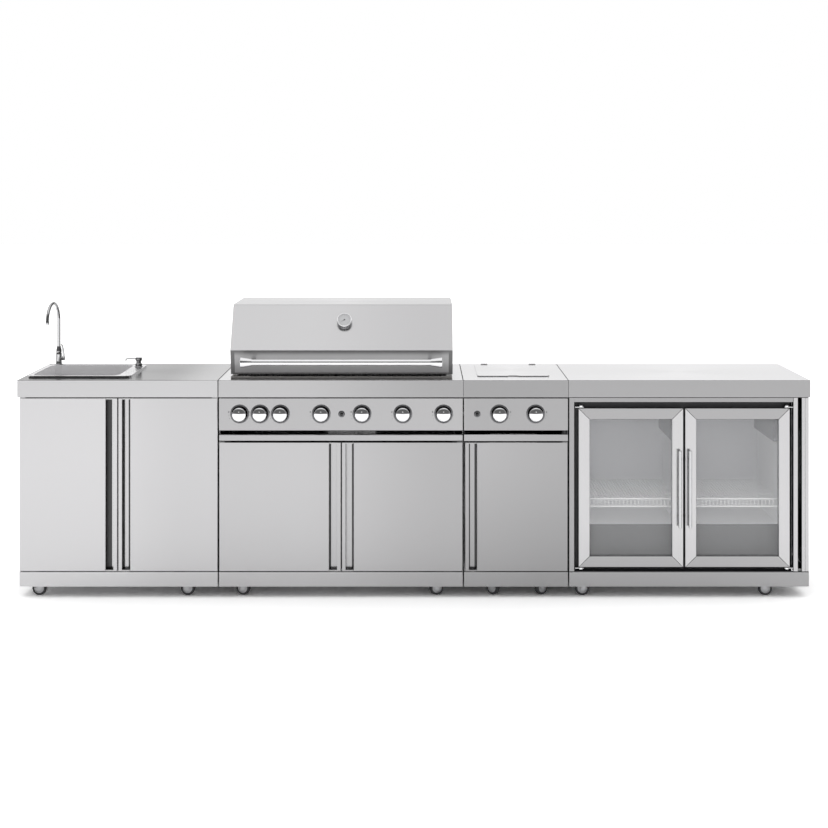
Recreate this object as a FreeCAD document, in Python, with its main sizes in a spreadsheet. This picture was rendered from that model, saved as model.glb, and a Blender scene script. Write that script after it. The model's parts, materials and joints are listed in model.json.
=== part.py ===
import FreeCAD, Part
import math
import os
import re
import Sketcher

# Outdoor kitchen island of four stainless modules in a row: sink, gas grill, side burner and fridge.
# Millimetres. +X runs along the counter to the right, +Y to the back, +Z up.
# The origin is on the floor, under the middle of the island.

Vector = FreeCAD.Vector
Rotation = FreeCAD.Rotation
Placement = FreeCAD.Placement

# Driving dimensions: name, value, meaning.
SIZES = [
    ("front", -306, "front face of the worktop aprons"),
    ("depth", 650, "worktop front to back"),
    ("top_height", 915, "worktop above the floor"),
    ("apron_height", 72.4, "front skirt of a worktop"),
    ("side_drop", 40, "side and rear skirts of a worktop"),
    ("panel", 2, "sheet of worktops and cabinets"),
    ("skin", 1.5, "sheet of doors, hood and bowl"),
    ("lip", 15, "inward fold under the apron"),
    ("left_end", -1667, "left end of the island"),
    ("sink_seam", -821.5, "seam between sink and grill"),
    ("grill_seam", 208.5, "seam between grill and side burner"),
    ("burner_seam", 650.5, "seam between side burner and fridge"),
    ("right_end", 1667, "right end of the island"),
    ("seam_gap", 1, "gap between two worktops"),
    ("end_inset", 10, "cabinet end behind the worktop end"),
    ("seam_inset", 3, "cabinet side from a module seam"),
    ("carcass_front", 23.5, "cabinet front edge behind the apron face"),
    ("carcass_back", 5, "cabinet back panel ahead of the worktop's rear edge"),
    ("floor_front", 42, "cabinet floor behind the apron face"),
    ("door_face", 1, "door face behind the apron face"),
    ("door_thick", 20, "thickness of a cabinet door"),
    ("door_bottom", 113, "bottom edge of the cabinet doors"),
    ("sink_door_top", 838, "top edge of the sink doors"),
    ("low_door_top", 652, "top edge of the doors under a control panel"),
    ("plinth_bottom", 47, "bottom edge of the plinth"),
    ("plinth_top", 109.6, "top edge of the plinth"),
    ("control_top", 839.6, "top edge of a control panel"),
    ("control_bottom", 702, "bottom edge of a control panel"),
    ("strip_top", 686, "top of the drip tray front"),
    ("strip_bottom", 659, "bottom of the drip tray front"),
    ("pull_lip", 16, "hooked lip of a door pull"),
    ("pull_opening", 33.5, "finger opening of a door pull"),
    ("pull_depth", 35, "depth of a door pull"),
    ("meeting_gap", 3.6, "gap between two doors"),
    ("pin_radius", 4, "hinge pin of a cabinet door"),
    ("pin_fit", 0.06, "radial clearance of pins and stems"),
    ("pin_inset", 10, "hinge pin from the door's edge"),
    ("pin_depth", 11, "hinge pin behind the door's face"),
    ("sink_meeting", -1244.5, "middle between the sink doors"),
    ("grill_meeting", -304.7, "middle between the grill doors"),
    ("rim_left", -1645, "left edge of the sink rim"),
    ("rim_width", 440, "sink rim along the counter"),
    ("rim_front", 87, "sink rim behind the apron face"),
    ("rim_depth", 456, "sink rim front to back"),
    ("rim_height", 8, "sink rim above the worktop"),
    ("bowl_margin", 15, "sink rim beside the bowl"),
    ("bowl_ledge", 55, "ledge at the right of the bowl"),
    ("bowl_depth", 190, "depth of the bowl below the rim"),
    ("bowl_corner", 42, "corner radius of the bowl"),
    ("bowl_bevel", 26, "slope between the bowl's walls and floor"),
    ("drain_radius", 44, "drain body"),
    ("drain_pipe", 19.05, "radius of the waste outlet pipe"),
    ("faucet_x", -1619, "faucet along the counter"),
    ("faucet_back", 606, "faucet behind the apron face"),
    ("faucet_radius", 13.5, "faucet body"),
    ("faucet_body_height", 57, "faucet body above the worktop"),
    ("spout_radius", 7, "spout tube"),
    ("spout_rise", 203.5, "foot of the spout's arch above the worktop"),
    ("spout_arch", 82, "radius of the spout's arch"),
    ("spigot_radius", 6, "spout's pivot in the faucet body"),
    ("lever_height", 30, "lever axis above the worktop"),
    ("soap_x", -1230, "soap dispenser along the counter"),
    ("soap_back", 452, "soap dispenser behind the apron face"),
    ("soap_radius", 15, "soap dispenser"),
    ("soap_stroke", 12, "travel of the soap pump"),
    ("hood_left", -778, "left end of the hood"),
    ("hood_width", 943, "hood along the counter"),
    ("hood_bottom", 930, "lower edge of the hood"),
    ("hood_break", 1034.5, "fold between the hood's band and slope"),
    ("hood_top", 1220.5, "top of the hood"),
    ("hood_front_low", 90, "hood's lower edge behind the apron face"),
    ("hood_front_break", 60, "hood's fold behind the apron face"),
    ("hood_front_top", 197, "hood's top edge behind the apron face"),
    ("hood_rear", 634, "hood's rear edge behind the apron face"),
    ("hood_pivot_back", 592, "hood pivot behind the apron face"),
    ("hood_pivot_height", 972, "hood pivot above the floor"),
    ("hood_cheek", 3, "thickness of the hood's end plates"),
    ("handle_height", 989, "hood handle above the floor"),
    ("handle_radius", 13.5, "hood handle bar"),
    ("handle_left", -729, "left end of the hood handle"),
    ("handle_length", 849, "hood handle over its end cones"),
    ("gauge_x", -297, "thermometer along the counter"),
    ("gauge_height", 1147, "thermometer above the floor"),
    ("gauge_radius", 33, "thermometer bezel"),
    ("box_left", -755, "left wall of the firebox"),
    ("box_width", 897, "firebox along the counter"),
    ("box_front", 82, "firebox front wall behind the apron face"),
    ("box_depth", 512, "firebox front to back"),
    ("box_floor", 735, "firebox floor at its edges"),
    ("grate_height", 903, "top of the cooking grates"),
    ("knob_radius", 29.5, "control knob"),
    ("knob_length", 39, "control knob in front of its panel"),
    ("knob_height", 773, "knob centres above the floor"),
    ("knob_dome", 12, "height of a knob's domed front"),
    ("bezel_radius", 38, "knob bezel"),
    ("knob_pitch", 171.4, "distance between two main knobs"),
    ("knob_first", -731.9, "first grill knob along the counter"),
    ("stem_radius", 3, "knob stem"),
    ("pipe_back", 48, "gas pipe behind the apron face"),
    ("pipe_radius", 11, "gas pipe"),
    ("valve_back", 14, "front of the gas valves behind the apron face"),
    ("inlet_x", 436, "gas inlet along the counter"),
    ("inlet_length", 30, "gas inlet below its nut"),
    ("burner_knob_left", 360.0, "left side burner knob"),
    ("burner_knob_right", 512.2, "right side burner knob"),
    ("side_button", 266.5, "side burner igniter along the counter"),
    ("lid_left", 272, "left edge of the side burner lid"),
    ("lid_width", 308, "side burner lid along the counter"),
    ("lid_front", 133, "side burner lid behind the apron face"),
    ("lid_depth", 452, "side burner lid front to back"),
    ("bay_left", 674, "left edge of the fridge bay"),
    ("bay_right", 1594, "right edge of the fridge bay"),
    ("bay_top", 822.5, "top edge of the fridge bay"),
    ("fridge_left", 682, "left side of the fridge"),
    ("fridge_width", 908, "fridge along the counter"),
    ("fridge_front", 48, "fridge body behind the apron face"),
    ("fridge_depth", 543, "fridge body front to back"),
    ("fridge_bottom", 118, "fridge body above the floor"),
    ("fridge_height", 696, "fridge body"),
    ("fridge_wall", 40, "insulated wall"),
    ("fridge_door_left", 693.4, "left edge of the left fridge door"),
    ("fridge_door_width", 439.4, "one fridge door"),
    ("fridge_door_gap", 9, "gap between the fridge doors"),
    ("fridge_door_bottom", 128, "bottom edge of a fridge door"),
    ("fridge_door_height", 668, "height of a fridge door"),
    ("fridge_door_face", 5, "fridge door face behind the apron face"),
    ("fridge_door_thick", 38, "thickness of a fridge door"),
    ("stile", 46, "width of a fridge door's frame"),
    ("fridge_pin_inset", 10, "fridge hinge pin from the door's edge"),
    ("fridge_pin_depth", 20, "fridge hinge pin behind the door's face"),
    ("pull_bar_length", 323, "fridge door handle"),
    ("pull_bar_bottom", 298, "lower end of a fridge door handle"),
    ("pull_bar_radius", 7, "fridge door handle bar"),
    ("shelf_height", 408, "wire shelf in the fridge"),
    ("step_height", 290, "raised floor in the fridge"),
    ("wheel_radius", 31, "caster wheel"),
    ("wheel_width", 22, "caster wheel"),
    ("caster_trail", 18, "caster wheel off its swivel"),
    ("caster_back", 54, "front caster swivel behind the apron face"),
    ("caster_height", 76, "caster plate above the floor"),
    ("rear_caster_back", 596, "rear caster behind the apron face"),
]

doc = FreeCAD.newDocument("OutdoorKitchenIsland")
sheet = doc.addObject("Spreadsheet::Sheet", "Sizes")
NAMES = {name for name, value, note in SIZES}
for row, (name, value, note) in enumerate(SIZES, start=1):
    sheet.set(f"A{row}", name)
    sheet.set(f"B{row}", str(value))
    sheet.set(f"C{row}", note)
    sheet.setAlias(f"B{row}", name)
doc.recompute()

# Edges this near to a plane lie in it.
TOUCH = 0.01

# Flats round a hinge pin, a stem or an axle.
PIN_SIDES = 8

sub_parts = []


def linked(text):
    """Put the sheet's name in front of each dimension in an expression."""
    def full(word):
        name = word.group()
        return f"Sizes.{name}" if name in NAMES else name

    return re.sub(r"[a-z]\w*", full, str(text))


def number(text):
    """The present value of an expression."""
    return float(sheet.evalExpression(linked(text)))


def bind(item, prop, text):
    """Drive one property by an expression on the sheet."""
    item.setExpression(prop, linked(text))


def place(item, x, y, z):
    """Drive an object's position by three expressions."""
    for axis, text in zip("xyz", (x, y, z)):
        bind(item, "Placement.Base." + axis, text)


def finish(item, label):
    """Make an object one of the sub-parts."""
    item.Label = label
    sub_parts.append(item)
    return item


class Arc:
    """A round stretch of an outline: turn is 1 to the left, -1 to the right."""

    def __init__(self, radius, turn=1):
        self.radius = radius
        self.turn = turn


class Circle:
    """A full circle in a sketch."""

    def __init__(self, x, y, radius):
        self.x = x
        self.y = y
        self.radius = radius


class Flats(Circle):
    """A circle made of many small flats, one of them facing down."""

    def __init__(self, x, y, radius, sides):
        super().__init__(x, y, radius)
        self.sides = sides


def pin_profile(x, y, radius):
    """A pin of many small flats."""
    return Flats(x, y, radius, PIN_SIDES)


def bore_profile(x, y, radius):
    """The bore in which a pin of the given radius turns with the running clearance."""
    return Flats(x, y, f"({radius} + pin_fit) / cos({180 / PIN_SIDES})", PIN_SIDES)


def rectangle(x, y, width, height):
    return [(x, y), (f"{x} + {width}", y), (f"{x} + {width}", f"{y} + {height}"), (x, f"{y} + {height}")]


def round_rectangle(x, y, width, height, radius):
    """A rectangle whose corners are rounded by two flats and the edges' ends."""
    left, right = f"{x}", f"{x} + {width}"
    low, high = f"{y}", f"{y} + {height}"
    near = f"({radius}) * {1 - math.sin(math.pi / 4):.4f}"
    return [(f"{left} + {radius}", low), (f"{right} - {radius}", low),
            (f"{right} - {near}", f"{low} + {near}"),
            (right, f"{low} + {radius}"), (right, f"{high} - {radius}"),
            (f"{right} - {near}", f"{high} - {near}"),
            (f"{right} - {radius}", high), (f"{left} + {radius}", high),
            (f"{left} + {near}", f"{high} - {near}"),
            (left, f"{high} - {radius}"), (left, f"{low} + {radius}"),
            (f"{left} + {near}", f"{low} + {near}")]


def mirrored(outline):
    """The same outline on the other side of the vertical axis."""
    turned = []
    for item in outline:
        if isinstance(item, Arc):
            turned.append(Arc(item.radius, -item.turn))
        else:
            turned.append((f"-({item[0]})", item[1]))
    return turned


def hold(sketch, kind, geometry, position, text):
    """Fix one coordinate of a sketch point by an expression."""
    index = sketch.addConstraint(Sketcher.Constraint(kind, -1, 1, geometry, position, number(text)))
    if re.search(r"[a-z]", str(text)):
        bind(sketch, f"Constraints[{index}]", text)


def arc_edge(start, end, radius, turn):
    """A minor arc from start to end, as an edge that runs counter-clockwise."""
    chord = end - start
    middle = (start + end) * 0.5
    side = Vector(-chord.y, chord.x, 0).normalize() * turn
    reach = max(radius ** 2 - (chord.Length / 2) ** 2, 0) ** 0.5
    crown = middle + side * reach - side * radius
    return Part.Arc(start, crown, end) if turn > 0 else Part.Arc(end, crown, start)


def draw_circle(sketch, circle):
    """Draw a circle, or the flats that are inscribed in it."""
    centre = Vector(number(circle.x), number(circle.y), 0)
    radius = number(circle.radius)
    flats = isinstance(circle, Flats)
    round_edge = sketch.addGeometry(Part.Circle(centre, Vector(0, 0, 1), radius), flats)
    hold(sketch, "DistanceX", round_edge, 3, circle.x)
    hold(sketch, "DistanceY", round_edge, 3, circle.y)
    index = sketch.addConstraint(Sketcher.Constraint("Radius", round_edge, radius))
    if re.search(r"[a-z]", str(circle.radius)):
        bind(sketch, f"Constraints[{index}]", circle.radius)
    if not flats:
        return
    step = 2 * math.pi / circle.sides
    corners = [centre + Vector(math.sin(angle), -math.cos(angle), 0) * radius
               for angle in (step * (side - 0.5) for side in range(circle.sides))]
    lines = [sketch.addGeometry(Part.LineSegment(start, end), False)
             for start, end in zip(corners, corners[1:] + corners[:1])]
    for line, following in zip(lines, lines[1:] + lines[:1]):
        sketch.addConstraint(Sketcher.Constraint("Coincident", line, 2, following, 1))
        sketch.addConstraint(Sketcher.Constraint("PointOnObject", line, 1, round_edge))
    for line in lines[1:]:
        sketch.addConstraint(Sketcher.Constraint("Equal", lines[0], line))
    sketch.addConstraint(Sketcher.Constraint("Horizontal", lines[0]))


def draw(sketch, outline, closed=True):
    """Draw an outline of points and arcs, held by constraints."""
    if isinstance(outline, Circle):
        draw_circle(sketch, outline)
        return
    points = [item for item in outline if not isinstance(item, Arc)]
    arcs = {}
    for item in outline:
        if isinstance(item, Arc):
            arcs[len([p for p in outline[:outline.index(item)] if not isinstance(p, Arc)]) - 1] = item
    places = [Vector(number(x), number(y), 0) for x, y in points]
    ends = []
    count = len(points) if closed else len(points) - 1
    for index in range(count):
        start, end = places[index], places[(index + 1) % len(points)]
        if index in arcs:
            arc = arcs[index]
            edge = arc_edge(start, end, number(arc.radius), arc.turn)
            geometry = sketch.addGeometry(edge, False)
            ends.append((geometry, 1, 2) if arc.turn > 0 else (geometry, 2, 1))
        else:
            geometry = sketch.addGeometry(Part.LineSegment(start, end), False)
            ends.append((geometry, 1, 2))
    joints = range(count) if closed else range(count - 1)
    for index in joints:
        first, second = ends[index], ends[(index + 1) % count]
        sketch.addConstraint(Sketcher.Constraint("Coincident", first[0], first[2], second[0], second[1]))
    for index, (x, y) in enumerate(points):
        geometry, first, last = ends[min(index, count - 1)]
        position = first if index < count else last
        hold(sketch, "DistanceX", geometry, position, x)
        hold(sketch, "DistanceY", geometry, position, y)
    for index, arc in arcs.items():
        chord = (places[(index + 1) % len(points)] - places[index]).Length
        if chord < 1.999 * number(arc.radius):
            constraint = sketch.addConstraint(
                Sketcher.Constraint("Radius", ends[index][0], number(arc.radius)))
            if re.search(r"[a-z]", str(arc.radius)):
                bind(sketch, f"Constraints[{constraint}]", arc.radius)


class Piece:
    """One folded, cast or turned piece, made of sketches on its own origin planes."""

    def __init__(self, name, x="0", y="0", z="0", turn=None):
        self.body = doc.addObject("PartDesign::Body", name)
        self.body.Label = name
        if turn is not None:
            self.body.Placement = Placement(Vector(), turn)
        place(self.body, x, y, z)
        self.name = name
        self.steps = 0

    def sketch(self, plane, start, *outlines, closed=True):
        """Draw on XY, XZ or YZ; start is the distance along +Z, +Y or +X."""
        self.steps += 1
        item = self.body.newObject("Sketcher::SketchObject", f"{self.name}_sketch{self.steps}")
        role = plane + "_Plane"
        item.AttachmentSupport = [(next(f for f in self.body.Origin.OriginFeatures if f.Role == role), "")]
        item.MapMode = "FlatFace"
        bind(item, "AttachmentOffset.Base.z", f"-({start})" if plane == "XZ" else start)
        for outline in outlines:
            draw(item, outline, closed)
        return item

    def feature(self, kind, plane, start, length, outlines):
        profile = self.sketch(plane, start, *outlines)
        item = self.body.newObject(kind, f"{self.name}_step{self.steps}")
        item.Profile = profile
        bind(item, "Length", length)
        outward = plane != "XZ"
        item.Reversed = (not outward) if kind == "PartDesign::Pad" else outward
        profile.Visibility = False
        return item

    def pad(self, plane, start, length, *outlines):
        """Add material from start, length further along +X, +Y or +Z."""
        return self.feature("PartDesign::Pad", plane, start, length, outlines)

    def pocket(self, plane, start, length, *outlines):
        """Cut from start, length further along +X, +Y or +Z."""
        return self.feature("PartDesign::Pocket", plane, start, length, outlines)

    def bevel(self, feature, plane, level, along, across, beyond="0"):
        """Chamfer a feature's edges that lie in one plane, beyond a distance from the sketch origin."""
        doc.recompute()
        normal = {"XY": Vector(0, 0, 1), "XZ": Vector(0, 1, 0), "YZ": Vector(1, 0, 0)}[plane]
        centre = normal * number(level)
        edges = []
        for index, edge in enumerate(feature.Shape.Edges, start=1):
            spokes = [vertex.Point - centre for vertex in edge.Vertexes]
            in_plane = all(abs(spoke.dot(normal)) < TOUCH for spoke in spokes)
            if in_plane and all(spoke.Length > number(beyond) for spoke in spokes):
                edges.append(f"Edge{index}")
        item = self.body.newObject("PartDesign::Chamfer", f"{self.name}_bevel{self.steps}")
        item.Base = (feature, edges)
        item.ChamferType = "Two distances"
        bind(item, "Size", along)
        bind(item, "Size2", across)
        return item

    def pipe(self, profile_plane, profile_start, profile, path_plane, path):
        """Sweep a profile along a path."""
        section = self.sketch(profile_plane, profile_start, profile)
        spine = self.sketch(path_plane, "0", path, closed=False)
        item = self.body.newObject("PartDesign::AdditivePipe", f"{self.name}_step{self.steps}")
        item.Profile = section
        item.Spine = spine
        item.Transition = "Right corner"
        return item

    def row(self, feature, axis, length, count):
        """Repeat a feature in a straight row."""
        item = self.body.newObject("PartDesign::LinearPattern", f"{self.name}_row{self.steps}")
        item.Originals = [feature]
        lines = self.body.Origin.OriginFeatures
        item.Direction = (next(line for line in lines if line.Role == axis + "_Axis"), [""])
        bind(item, "Length", length)
        item.Occurrences = count
        self.body.Tip = item
        return item

    def ring(self, feature, count):
        """Repeat a feature about the vertical axis."""
        item = self.body.newObject("PartDesign::PolarPattern", f"{self.name}_ring{self.steps}")
        item.Originals = [feature]
        item.Axis = (next(f for f in self.body.Origin.OriginFeatures if f.Role == "Z_Axis"), [""])
        item.Angle = 360
        item.Occurrences = count
        self.body.Tip = item
        return item

    def sub_part(self):
        finish(self.body, self.name)
        return self


def box(name, x, y, z, length, width, height):
    """A flat panel or bar."""
    item = doc.addObject("Part::Box", name)
    bind(item, "Length", length)
    bind(item, "Width", width)
    bind(item, "Height", height)
    place(item, x, y, z)
    return item


def rod(name, x, y, z, radius, length, direction="Z"):
    """A round bar from a point, along X, Y or Z."""
    item = doc.addObject("Part::Cylinder", name)
    bind(item, "Radius", radius)
    bind(item, "Height", length)
    turns = {"Z": Rotation(), "X": Rotation(Vector(0, 1, 0), 90), "Y": Rotation(Vector(1, 0, 0), -90)}
    item.Placement = Placement(Vector(), turns[direction])
    place(item, x, y, z)
    return item


def many_sided(name, x, y, z, radius, length, direction, sides):
    """A wheel or disc with many small flats, one of them facing down."""
    item = doc.addObject("Part::Prism", name)
    item.Polygon = sides
    bind(item, "Circumradius", radius)
    bind(item, "Height", length)
    half = Rotation(Vector(0, 0, 1), 180 / sides)
    turns = {"Z": Rotation(), "X": Rotation(Vector(0, 1, 0), 90), "Y": Rotation(Vector(1, 0, 0), -90)}
    item.Placement = Placement(Vector(), turns[direction].multiply(half))
    place(item, x, y, z)
    return item


def fused(name, items):
    item = doc.addObject("Part::MultiFuse", name)
    item.Shapes = items
    item.Refine = True
    return item


def cut(name, base, tool):
    item = doc.addObject("Part::Cut", name)
    item.Base = base
    item.Tool = tool
    item.Refine = True
    return item


def group(label, items):
    """Several separate solids that make one sub-part."""
    item = doc.addObject("Part::Compound", label)
    item.Links = [piece.body if isinstance(piece, Piece) else piece for piece in items]
    return finish(item, label)


# Worktops: one folded sheet each, with a deep front apron and shallow side and rear skirts.

def worktop(label, left, right, left_drop, right_drop):
    width = f"({right}) - ({left})"
    piece = Piece(label, left, "front", "top_height")
    piece.pad("YZ", "0", width, [
        ("0", "-apron_height"), ("0", "-2"), Arc("2", -1), ("2", "0"),
        ("depth", "0"), ("depth", "-side_drop"), ("depth - panel", "-side_drop"),
        ("depth - panel", "-panel"), ("panel", "-panel"), ("panel", "panel - apron_height"),
        ("lip", "panel - apron_height"), ("lip", "-apron_height")])
    for start, drop in (("0", left_drop), (f"{width} - panel", right_drop)):
        piece.pad("YZ", start, "panel", rectangle("panel", f"-({drop})", "depth - 2 * panel",
                                                  f"{drop} - panel"))
    return piece


def worktops():
    half_gap = "seam_gap / 2"
    sink = worktop("sink_worktop", "left_end", f"sink_seam - {half_gap}", "apron_height", "side_drop")
    sink.pocket("XY", "-2 * panel", "3 * panel",
                round_rectangle("rim_left - left_end + 8", "rim_front + 8", "rim_width - 16",
                                "rim_depth - 16", "22"),
                Circle("faucet_x - left_end", "faucet_back", "11.5"))
    sink.sub_part()

    grill = worktop("grill_worktop", f"sink_seam + {half_gap}", f"grill_seam - {half_gap}", "side_drop",
                    "side_drop")
    grill.pocket("XY", "-2 * panel", "3 * panel",
                 rectangle(f"box_left - sink_seam - {half_gap} - 4", "box_front - 4", "box_width + 8",
                           "box_depth + 8"))
    grill.sub_part()

    burner = worktop("side_burner_worktop", f"grill_seam + {half_gap}", f"burner_seam - {half_gap}",
                     "side_drop", "side_drop")
    burner.pocket("XY", "-2 * panel", "3 * panel",
                  round_rectangle(f"lid_left - grill_seam - {half_gap} + 6", "lid_front + 6",
                                  "lid_width - 12", "lid_depth - 20", "12"))
    burner.sub_part()

    fridge = worktop("fridge_worktop", f"burner_seam + {half_gap}", "right_end", "side_drop",
                     "apron_height")
    fridge.sub_part()


# Cabinets: riveted sheet panels on four base beams.

def base_beam(name, centre, low="caster_height", high="door_bottom"):
    """A channel from front to back that carries two casters."""
    piece = Piece(name, centre, "front + 26", "0")
    piece.pad("XZ", "0", "depth - 52", [
        ("-30", low), ("30", low), ("30", high), ("28", high), ("28", f"{low} + panel"),
        ("-28", f"{low} + panel"), ("-28", high), ("-30", high)])
    return piece


def back_panel(name, left, right, vents):
    """The rear sheet, with rows of louvre slots where the module needs air."""
    piece = Piece(name, f"({left}) + panel", "front + depth - carcass_back - panel", "plinth_bottom")
    width = f"({right}) - ({left}) - 2 * panel"
    height = "top_height - panel - plinth_bottom"
    piece.pad("XZ", "0", "panel", rectangle("0", "0", width, height))
    if vents:
        slot = piece.pocket("XZ", "-panel", "3 * panel",
                            rectangle(f"({width}) / 2 - 90", f"{height} - 260", "220", "12"))
        piece.row(slot, "Z", "140", 4)
    return piece


def side_panel(name, x, opening):
    """A cabinet side, with an opening where the gas pipe crosses it."""
    piece = Piece(name, x, "front + carcass_front", "plinth_bottom")
    outlines = [rectangle("0", "0", "depth - carcass_front - carcass_back",
                          "top_height - panel - plinth_bottom")]
    if opening:
        outlines.append(rectangle("pipe_back - carcass_front - 20", "knob_height - plinth_bottom - 20",
                                  "40", "40"))
    piece.pad("YZ", "0", "panel", *outlines)
    return piece


def carcass(name, left, right, casters, vents, openings=(False, False)):
    """Sides, back, floor, plinth and beams that every module has."""
    inner_left = f"({left}) + panel"
    inner_width = f"({right}) - ({left}) - 2 * panel"
    plinth = Piece(name + "_plinth", left, "front + door_face", "plinth_bottom")
    plinth.pad("YZ", "0", f"({right}) - ({left})", [
        ("0", "0"), ("panel", "0"), ("panel", "plinth_top - plinth_bottom - panel"),
        ("carcass_front - door_face - 1", "plinth_top - plinth_bottom - panel"),
        ("carcass_front - door_face - 1", "plinth_top - plinth_bottom"),
        ("2", "plinth_top - plinth_bottom"), ("0", "plinth_top - plinth_bottom - 2")])
    for corner in ("pin_inset", f"({right}) - ({left}) - pin_inset"):
        plinth.pocket("XY", "plinth_top - plinth_bottom - 2 * panel", "4 * panel",
                      bore_profile(corner, "pin_depth", "pin_radius"))
    return [
        side_panel(name + "_left_side", left, openings[0]),
        side_panel(name + "_right_side", f"({right}) - panel", openings[1]),
        back_panel(name + "_back", left, right, vents),
        box(name + "_floor", inner_left, "front + floor_front", "door_bottom", inner_width,
            "depth - floor_front - carcass_back - panel", "panel"),
        box(name + "_top_rail", inner_left, "front + carcass_front", "top_height - 52", inner_width,
            "panel", "50"),
        plinth,
    ] + [base_beam(f"{name}_beam{index}", centre) for index, centre in enumerate(casters)]


def hinge_plate(name, door_edge, side, low, reach):
    """A corner plate that takes a door's upper hinge pin."""
    start = "0" if side > 0 else f"-({reach})"
    piece = Piece(name, door_edge, "front + door_face", low)
    piece.pad("XY", "0", "2.5", rectangle(start, "3", reach, "carcass_front - door_face - 3"))
    piece.pocket("XY", "-1", "5", bore_profile("pin_inset" if side > 0 else "-pin_inset", "pin_depth",
                                               "pin_radius"))
    return piece


SINK_LEFT = "left_end + end_inset"
SINK_RIGHT = "sink_seam - seam_inset"
GRILL_LEFT = "sink_seam + seam_inset"
GRILL_RIGHT = "grill_seam - seam_inset"
BURNER_LEFT = "grill_seam + seam_inset"
BURNER_RIGHT = "burner_seam - seam_inset"
FRIDGE_LEFT = "burner_seam + seam_inset"
FRIDGE_RIGHT = "right_end - 6"
FRIDGE_DOOR_RIGHT = "fridge_door_left + 2 * fridge_door_width + fridge_door_gap"

# Front casters: swivel axis along the counter, and the angle at which each one stands.
CASTERS = [
    ("sink_left_caster", "-1566", 180), ("sink_right_caster", "-974", 0),
    ("grill_left_caster", "-704", 165), ("grill_right_caster", "78", 18),
    ("burner_left_caster", "350", 142), ("burner_right_caster", "525", 35),
    ("fridge_left_caster", "730", 180), ("fridge_right_caster", "1468", 0),
]


def cabinets():
    centres = [centre for name, centre, angle in CASTERS]
    sink = carcass("sink_carcass", SINK_LEFT, SINK_RIGHT, centres[0:2], False)
    sink += [hinge_plate("sink_left_hinge_plate", SINK_LEFT, 1, "sink_door_top + 1", "24"),
             hinge_plate("sink_right_hinge_plate", SINK_RIGHT, -1, "sink_door_top + 1", "24")]
    group("sink_cabinet", sink)

    grill = carcass("grill_carcass", GRILL_LEFT, GRILL_RIGHT, centres[2:4], True, (False, True))
    grill += [hinge_plate("grill_left_hinge_plate", GRILL_LEFT, 1, "low_door_top + 1", "24"),
              hinge_plate("grill_right_hinge_plate", GRILL_RIGHT, -1, "low_door_top + 1", "24")]
    for side, x in (("left", f"{GRILL_LEFT} + panel"), ("right", f"{GRILL_RIGHT} - panel - 40")):
        grill.append(box(f"grill_{side}_runner", x, "front + carcass_front + 4", "strip_bottom - 5",
                         "40", "depth - 100", "panel"))
    group("grill_cabinet", grill)

    burner = carcass("burner_carcass", BURNER_LEFT, BURNER_RIGHT, centres[4:6], True, (True, False))
    rail = Piece("burner_rail", BURNER_LEFT, "front + door_face", "strip_bottom")
    rail.pad("YZ", "0", f"{BURNER_RIGHT} - ({BURNER_LEFT})", [
        ("0", "0"), ("20", "0"), ("20", "2"), ("2", "2"), ("2", "strip_top - strip_bottom - 2"),
        ("20", "strip_top - strip_bottom - 2"), ("20", "strip_top - strip_bottom"),
        ("0", "strip_top - strip_bottom")])
    burner += [rail, hinge_plate("burner_hinge_plate", BURNER_RIGHT, -1, "low_door_top + 1", "24")]
    group("side_burner_cabinet", burner)

    fridge = carcass("fridge_carcass", FRIDGE_LEFT, FRIDGE_RIGHT, centres[6:8], True)
    bay_low = "plinth_top + 1.4"
    fridge += [
        box("bay_left_stile", FRIDGE_LEFT, "front + door_face", bay_low, f"bay_left - ({FRIDGE_LEFT})",
            "20",
            "control_top - plinth_top"),
        box("bay_right_stile", "bay_right + 2", "front + door_face", bay_low, "18", "20",
            "control_top - plinth_top"),
        box("bay_right_return", "bay_right + 2", "front + floor_front + 0.5", "door_bottom + panel", "2",
            "depth - 80", "control_top - door_bottom - panel"),
        box("bay_column", "bay_right + 37", "front + door_face", bay_low, "14", "20",
            "control_top - plinth_top"),
        box("bay_header", "bay_left", "front + door_face", "bay_top", "bay_right - bay_left", "20", "18.5"),
    ]
    for side, edge, start in (("left", "fridge_door_left", "-15"), ("right", FRIDGE_DOOR_RIGHT, "-21.5")):
        for level, z in (("lower", "fridge_door_bottom - 6"),
                         ("upper", "fridge_door_bottom + fridge_door_height + 3")):
            bracket = Piece(f"fridge_{level}_{side}_bracket", edge, "front + fridge_door_face", z)
            bracket.pad("XY", "0", "3", rectangle(start, "2", "36", "fridge_front - fridge_door_face - 2"))
            pin_x = "fridge_pin_inset" if side == "left" else "-fridge_pin_inset"
            bracket.pocket("XY", "-1", "5", bore_profile(pin_x, "fridge_pin_depth", "pin_radius"))
            fridge.append(bracket)
    group("fridge_cabinet", fridge)


# Cabinet doors: a double-skinned leaf whose meeting edge is folded into a full-height finger pull.

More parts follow.
